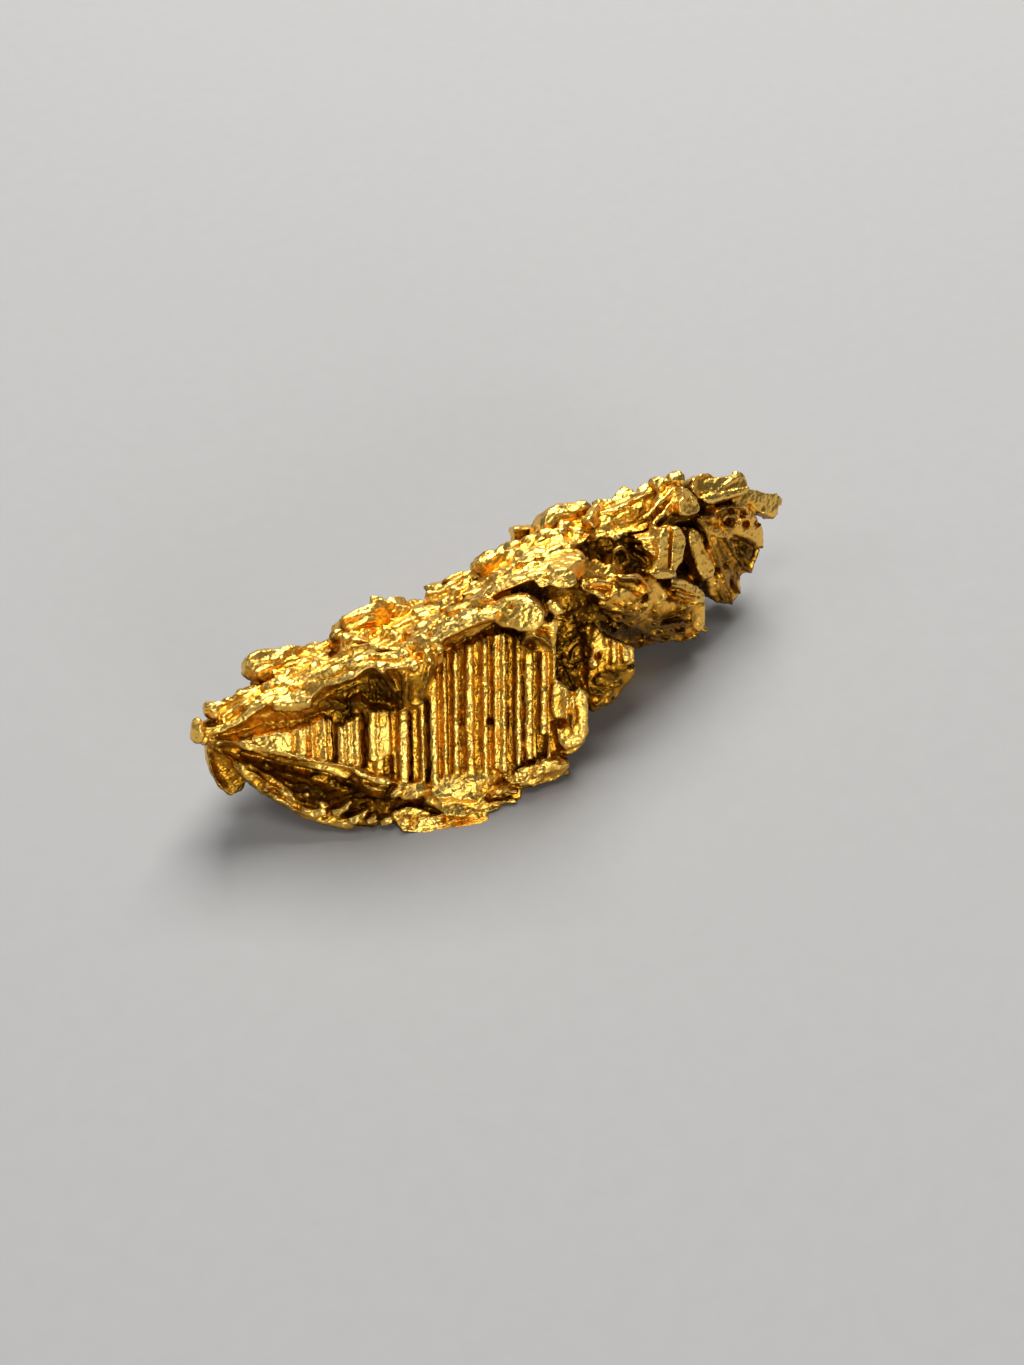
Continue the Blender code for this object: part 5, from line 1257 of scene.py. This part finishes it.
def relief(verts, normals):
    """The hammered skin: shallow cells with sharp rims, long streaks along the crest, lines
    along the flutes and a fine grain, each where the growth has it."""
    off_panel = (verts - PANEL_POINT) @ FLUTE_NORMAL
    on_panel = (ease(off_panel, -1.7, -1.1) * (1 - ease(off_panel, 0.0, 0.5))
                * ease(normals @ FLUTE_NORMAL, 0.3, 0.8) * (verts[:, 1] < 0.3)
                * ease(verts[:, 0], -13.5, -12.0) * (1 - ease(verts[:, 0], 1.6, 2.4)))
    foot = rail_points(PANEL_FOOT)
    on_panel *= ease(verts[:, 2] - np.interp(verts[:, 0], foot[:, 0], foot[:, 2]), 0.1, 0.5)
    upward = ease(normals[:, 2], 0.2, 0.7) * (1 - on_panel)
    along = np.stack([verts @ CREST_RUN, verts @ CREST_SIDE, verts @ np.cross(CREST_RUN, CREST_SIDE)], 1)
    warped = verts + 0.12 * field(verts, 0.5, 3)[:, None]
    hammered = chips(warped, 0.6, 5) * 0.10
    beaten = chips(warped, 0.26, 6) * 0.05 + chips(verts, 0.12, 13) * 0.018
    along = along + 0.14 * field(verts, 0.7, 21)[:, None] * (0, 1, 1)
    streaks = chips(along, (0.9, 0.24, 0.34), 7) * 0.085 + chips(along, (0.4, 0.13, 0.18), 8) * 0.04
    up_flute = np.stack([verts @ FLUTE_RUN, verts @ FLUTE_ACROSS, verts @ FLUTE_NORMAL], 1)
    lines = field(up_flute, (1.5, 0.1, 0.3), 9) * 0.02
    speckle = field(up_flute, (0.13, 0.08, 0.12), 10) * 0.028
    grain = field(verts, 0.1, 12) * 0.014
    rise = (hammered * (1 - on_panel) * (1 - 0.6 * upward)
            + beaten * (1 - 0.7 * on_panel) * (1 - 0.5 * upward) + streaks * upward
            + (lines + speckle) * on_panel + grain)
    keep = ease(verts[:, 2], 0.02, 0.25)
    return verts + normals * (rise * keep)[:, None]


def fitted(verts):
    """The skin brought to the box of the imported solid: on each axis only the last stretch, at
    either end, is drawn in or out."""
    low, high = (np.array(corner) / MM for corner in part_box("nugget"))
    own_low, own_high = verts.min(0), verts.max(0)
    print("own box", own_low.round(2), own_high.round(2), "solid", low.round(2), high.round(2))
    return np.stack([np.interp(verts[:, axis],
                               [own_low[axis], low[axis] + FIT, high[axis] - FIT, own_high[axis]],
                               [low[axis], low[axis] + FIT, high[axis] - FIT, high[axis]])
                     for axis in range(3)], 1)


def nugget_skin():
    """The nugget's skin: all growth fused, pressed, fused again, hammered and thinned."""
    shells = list(growth())
    starts = np.cumsum([0] + [len(verts) for verts, _ in shells])
    verts = np.concatenate([verts for verts, _ in shells])
    faces = np.concatenate([faces + start for (_, faces), start in zip(shells, starts)])
    piece = bpy.data.objects.new("gold_skin", to_mesh("growth", verts, faces))
    bpy.context.scene.collection.objects.link(piece)
    finished(piece, 'REMESH', mode='VOXEL', voxel_size=GRAIN * MM)
    verts, normals = points_of(piece.data)
    verts = press(verts, normals)
    verts[:, 2] = np.maximum(verts[:, 2], 0.0)
    move_to(piece.data, verts)
    finished(piece, 'REMESH', mode='VOXEL', voxel_size=GRAIN * MM)
    keep_largest(piece)
    verts, normals = points_of(piece.data)
    move_to(piece.data, relief(verts, normals))
    finished(piece, 'TRIANGULATE')
    count = len(piece.data.polygons)
    if count > SKIN_TRIANGLES:
        finished(piece, 'DECIMATE', ratio=SKIN_TRIANGLES / count)
    verts, normals = points_of(piece.data)
    verts = fitted(verts)
    move_to(piece.data, verts)
    mark_hollows(piece.data, verts, normals)
    return piece


def cut_in_lengths(piece):
    """The skin cut square across into lengths of as many faces each.  A cut that would leave a
    length open is made a little further on instead."""
    rest = bmesh.new()
    rest.from_mesh(piece.data)
    bpy.data.objects.remove(piece)
    for face in rest.faces:
        face.smooth = True
    middles = np.array([face.calc_center_median().x for face in rest.faces])
    for item, cut in enumerate(np.quantile(middles, np.arange(1, LENGTHS) / LENGTHS)):
        sides = ()
        for nudge in CUT_NUDGES:
            for form in sides:
                form.free()
            sides = parted(rest, cut + nudge * MM)
            if closed(sides[0]) and closed(sides[1]):
                break
        rest.free()
        length, rest = sides
        yield made_object(length, f"gold_skin_{item + 1}")
    yield made_object(rest, f"gold_skin_{LENGTHS}")


def made_object(form, name):
    mesh = bpy.data.meshes.new(name)
    form.to_mesh(mesh)
    form.free()
    length = bpy.data.objects.new(name, mesh)
    bpy.context.scene.collection.objects.link(length)
    return length


def closed(form):
    return all(edge.is_manifold for edge in form.edges)


def parted(form, cut):
    """Copies of a form on either side of a plane square to x, both closed by flat faces inside
    the nugget, with a crisp edge round them, so that no seam shows."""
    form = form.copy()
    near = [face for face in form.faces
            if abs(face.calc_center_median().x - cut) < 4 * GRAIN * MM]
    edges = {edge for face in near for edge in face.edges}
    points = {point for face in near for point in face.verts}
    made = bmesh.ops.bisect_plane(form, geom=near + list(edges) + list(points), dist=SNAP,
                                  plane_co=(cut, 0, 0), plane_no=(1, 0, 0))["geom_cut"]
    for point in made:
        if isinstance(point, bmesh.types.BMVert):
            point.co.x = cut
    bmesh.ops.triangulate(form, faces=[face for face in form.faces if len(face.verts) > 3])
    other = form.copy()
    for part, outward in ((form, 1), (other, -1)):
        beyond = [face for face in part.faces
                  if (face.calc_center_median().x - cut) * outward > 0]
        bmesh.ops.delete(part, geom=beyond, context='FACES')
        rim = [edge for edge in part.edges if edge.is_boundary]
        for edge in rim:
            edge.smooth = False
        for face in bmesh.ops.triangle_fill(part, use_beauty=True, edges=rim)["geom"]:
            if isinstance(face, bmesh.types.BMFace):
                face.smooth = False
                face.normal_update()
                if face.normal.x * outward < 0:
                    face.normal_flip()
    return form, other


def keep_largest(piece):
    """Deletes loose shells: the shell with the most points stays."""
    mesh = piece.data
    edges = edges_of(mesh)
    label = np.arange(len(mesh.vertices))
    while True:
        low = np.minimum(label[edges[:, 0]], label[edges[:, 1]])
        spread = label.copy()
        np.minimum.at(spread, edges[:, 0], low)
        np.minimum.at(spread, edges[:, 1], low)
        spread = spread[spread]
        if (spread == label).all():
            break
        label = spread
    keep = label == np.bincount(label).argmax()
    form = bmesh.new()
    form.from_mesh(mesh)
    form.verts.ensure_lookup_table()
    bmesh.ops.delete(form, geom=[form.verts[i] for i in np.flatnonzero(~keep)], context='VERTS')
    form.to_mesh(mesh)
    form.free()


def edges_of(mesh):
    edges = np.empty(len(mesh.edges) * 2, np.int32)
    mesh.edges.foreach_get("vertices", edges)
    return edges.reshape(-1, 2)


def shelter(verts, normals):
    """How much each point is shut in: over directions spread evenly on a sphere, the share of
    those its skin faces from which it isn't the outermost point of its cell on a grid square
    to the direction.  A direction from below counts for little."""
    turn = np.arange(SHELTER_RAYS) * math.pi * (3 - math.sqrt(5))
    rise = 1 - 2 * (np.arange(SHELTER_RAYS) + 0.5) / SHELTER_RAYS
    level = np.sqrt(1 - rise ** 2)
    seen, faced = np.zeros(len(verts)), np.zeros(len(verts))
    for way in np.stack([np.cos(turn) * level, np.sin(turn) * level, rise], 1):
        side = unit(np.cross(way, (0.3, 0.5, 0.8) if abs(way[2]) > 0.9 else (0, 0, 1)))
        place = np.floor(np.stack([verts @ side, verts @ np.cross(way, side)]) / SHELTER_CELL)
        place = (place - place.min(1, keepdims=True)).astype(np.int64)
        cell = place[0] * (place[1].max() + 1) + place[1]
        reach = verts @ way
        outer = np.full(cell.max() + 1, -99.0)
        np.maximum.at(outer, cell, reach)
        facing = np.maximum(normals @ way, 0)
        clear = 1 - ease(outer[cell] - reach, 1.2 * SHELTER_CELL, 3 * SHELTER_CELL)
        seen += clear * facing * (1.0 if way[2] > 0 else FROM_BELOW)
        faced += facing
    return 1 - seen / faced


def painted_shade_spots(verts):
    """How much painted shade each point takes from the shade spots: the most of strength * (1 - (r / R)^2)
    over the spots, r from the spot's middle and R its reach, with an uneven edge."""
    most = np.zeros(len(verts))
    uneven = 1 + 0.35 * field(verts, 0.4, 31)
    for on, across, down, off, reach, strength in SHADE_SPOTS:
        middle = sight([(across, down, off)], on)[0]
        away = np.linalg.norm(verts - middle, axis=1) / (reach * 1.35) * uneven
        most = np.maximum(most, strength * np.clip(1 - away ** 2, 0, 1))
    return most


def mark_hollows(mesh, verts, normals):
    """Three attributes.  'hollow' for broad recesses and 'crevice' for fine ones come from how
    far each point lies under the smoothed skin round it, and 'sheltered' from shelter and the
    painted shade spots.  The gold reads all three to paint shade into its colour."""
    edges = edges_of(mesh)
    # 'sheltered': occlusion plus the shade spots, painted shade for the colour
    value = smoothed(shelter(verts, normals)[:, None], edges, 3)[:, 0] + painted_shade_spots(verts)
    mesh.attributes.new("sheltered", 'FLOAT', 'POINT').data.foreach_set("value",
                                                                       value.astype(np.float32))
    for name, rounds, depth in (("crevice", 10, 0.06), ("hollow", 160, 0.45)):
        even = smoothed(verts, edges, rounds)
        value = 0.5 + 0.5 * ((even - verts) * normals).sum(1) / depth
        value = smoothed(np.clip(value, 0, 1)[:, None], edges, 2)[:, 0]
        mesh.attributes.new(name, 'FLOAT', 'POINT').data.foreach_set("value", value.astype(np.float32))


class Value:
    """A node socket that takes part in sums: + - * / on numbers add Math nodes."""

    def __init__(self, tree, socket):
        self.tree, self.socket = tree, socket

    def node(self, kind, settings=None, out=0, **inputs):
        """A node of a type, with its settings and the values or links of its sockets."""
        made = self.tree.nodes.new(kind)
        for setting, value in (settings or {}).items():
            if setting == "stops":
                while len(made.color_ramp.elements) < len(value):
                    made.color_ramp.elements.new(0.5)
                for stop, (place, colour) in zip(made.color_ramp.elements, value):
                    stop.position, stop.color = place, colour
            else:
                setattr(made, setting, value)
        for name, value in inputs.items():
            name = name.replace("_", " ") if not name.startswith("at") else int(name[2:])
            socket = made.inputs[name]
            if isinstance(value, Value):
                self.tree.links.new(value.socket, socket)
            else:
                socket.default_value = value
        return Value(self.tree, made.outputs[out])

    def sum(self, operation, first, second=0.0, clamp=False):
        return self.node("ShaderNodeMath", {"operation": operation, "use_clamp": clamp},
                         at0=first, at1=second)

    def __add__(self, other):
        return self.sum('ADD', self, other)

    def __radd__(self, other):
        return self.sum('ADD', other, self)

    def __sub__(self, other):
        return self.sum('SUBTRACT', self, other)

    def __rsub__(self, other):
        return self.sum('SUBTRACT', other, self)

    def __mul__(self, other):
        return self.sum('MULTIPLY', self, other)

    def __rmul__(self, other):
        return self.sum('MULTIPLY', other, self)

    def between(self, low, high):
        """0 at low, 1 at high, eased."""
        return self.node("ShaderNodeMapRange", {"interpolation_type": 'SMOOTHSTEP'},
                         Value=self, From_Min=low, From_Max=high)

    def mix(self, first, second):
        """A colour between two by this share."""
        return self.node("ShaderNodeMix", {"data_type": 'RGBA'}, out=2, at0=self, at6=first,
                         at7=second)


def new_material(name):
    material = bpy.data.materials.new(name)
    material.use_nodes = True
    tree = material.node_tree
    shader = tree.nodes["Principled BSDF"]
    return material, shader, Value(tree, None)


def link(shader, name, value):
    value.tree.links.new(value.socket, shader.inputs[name])


def native_gold():
    """Native gold, satin with a fine grain.  Its colour has painted light and shade: paler on open, proud ground,
    orange to brown and near black in hollows, creases and sheltered places, over some random tone.
    """
    material, shader, any_value = new_material("native_gold_skin")
    shader.inputs["Metallic"].default_value = 1.0
    place = any_value.node("ShaderNodeTexCoord", out=3)
    place = any_value.node("ShaderNodeMapping", at0=place, at3=(1000.0, 1000.0, 1000.0))
    hollow = any_value.node("ShaderNodeAttribute", {"attribute_name": "hollow"}, out=2)
    crevice = any_value.node("ShaderNodeAttribute", {"attribute_name": "crevice"}, out=2)
    drift = any_value.node("ShaderNodeTexNoise", {"noise_dimensions": '3D'}, at0=place,
                           Scale=0.9, Detail=3.0, Roughness=0.6)
    fine = any_value.node("ShaderNodeTexNoise", {"noise_dimensions": '3D'}, at0=place,
                          Scale=7.0, Detail=4.0, Roughness=0.65)
    sheltered = any_value.node("ShaderNodeAttribute", {"attribute_name": "sheltered"}, out=2)
    # Deeper orange in hollows, creases and sheltered places: painted shade, over some random tone
    deep_shade = (hollow * 0.4 + sheltered * 0.8 + (drift - 0.5) * 0.5
            + (crevice - 0.5) * 0.7).between(0.45, 0.9)
    # Paler gold on open ground, away from hollows and shelter: painted light
    proud = (hollow * 0.6 + sheltered * 0.6 + (drift - 0.5) * 0.3).between(0.6, 0.3)
    colour = deep_shade.mix(GOLD_EVEN, GOLD_DEEP_SHADE)
    colour = proud.mix(colour, GOLD_PROUD_PAINTED_LIGHT)
    # Brown in fine creases and sheltered places, near black where most shut in: painted shade
    colour = (crevice.between(0.7, 1.0) * 0.6).mix(colour, GOLD_CREVICE_SHADE)
    colour = (sheltered.between(0.5, 0.8) * 0.9).mix(colour, GOLD_SHELTERED_SHADE)
    shaded = sheltered - (crevice - 0.5) * 0.9 + (fine - 0.5) * 0.4
    colour = (shaded.between(0.62, 1.0) * 0.9).mix(colour, GOLD_SHADED)
    link(shader, "Base Color", colour)
    link(shader, "Roughness", 0.24 + 0.12 * drift + 0.14 * fine)
    speck = any_value.node("ShaderNodeTexNoise", {"noise_dimensions": '3D'}, at0=place,
                           Scale=8.0, Detail=1.0, Roughness=0.5)
    bump = any_value.node("ShaderNodeBump", Strength=1.0, Distance=0.000024, Height=speck)
    link(shader, "Normal", bump)
    return material


def studio_floor():
    """The plain pale floor: a wide round plate under the nugget, sunk a hair."""
    angle = np.linspace(0, 2 * math.pi, 96, endpoint=False)
    around = np.stack([np.cos(angle), np.sin(angle), 0 * angle], 1)
    rings = np.stack([around * 700 + (0, 0, FLOOR_TOP), around * 700 + (0, 0, FLOOR_TOP - 4)])
    verts, faces = shell(rings)
    piece = bpy.data.objects.new("studio_floor", to_mesh("studio_floor", verts, faces))
    bpy.context.scene.collection.objects.link(piece)
    material, shader, any_value = new_material("pale_floor")
    place = any_value.node("ShaderNodeTexCoord", out=3)
    tone = any_value.node("ShaderNodeTexNoise", {"noise_dimensions": '3D'}, at0=place,
                          Scale=900.0, Detail=3.0, Roughness=0.6)
    link(shader, "Base Color", tone.mix(FLOOR_TONE, FLOOR_TONE_TWO))
    shader.inputs["Roughness"].default_value = 0.8
    shader.inputs["Specular IOR Level"].default_value = 0.2
    piece.data.materials.append(material)


def soft_light(name, azimuth, elevation, distance, size, power, tint=(1.0, 1.0, 1.0)):
    """A square soft light that faces the nugget from a compass direction, in degrees."""
    light = bpy.data.lights.new(name, 'AREA')
    light.shape = 'SQUARE'
    light.size = size
    light.energy = power
    light.color = tint
    item = bpy.data.objects.new(name, light)
    bpy.context.scene.collection.objects.link(item)
    turn, rise = math.radians(azimuth), math.radians(elevation)
    away = Vector((math.sin(turn) * math.cos(rise), math.cos(turn) * math.cos(rise),
                   math.sin(rise)))
    item.location = away * distance + Vector((0, 0, 0.004))
    item.rotation_euler = away.to_track_quat('Z', 'Y').to_euler()


def studio():
    """The camera, the soft lights and a dim even surround."""
    view = bpy.data.cameras.new("camera")
    view.lens, view.sensor_width = LENS, SENSOR
    view.clip_start, view.clip_end = 0.005, 5.0
    camera = bpy.data.objects.new("camera", view)
    bpy.context.scene.collection.objects.link(camera)
    turn = Matrix((ACROSS, ABOVE, -AHEAD)).transposed().to_4x4()
    camera.matrix_world = Matrix.Translation(Vector(EYE * MM)) @ turn
    bpy.context.scene.camera = camera
    for light in LIGHTS:
        soft_light(*light)
    world = bpy.data.worlds.new("studio")
    world.use_nodes = True
    world.node_tree.nodes["Background"].inputs["Color"].default_value = (1.0, 1.0, 1.0, 1.0)
    world.node_tree.nodes["Background"].inputs["Strength"].default_value = SURROUND
    bpy.context.scene.world = world
    bpy.context.scene.view_settings.view_transform = 'Standard'


def main():
    studio()
    studio_floor()
    gold = native_gold()
    for length in cut_in_lengths(nugget_skin()):
        length.data.materials.append(gold)
        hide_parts("nugget")
        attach(length, "root")


main()
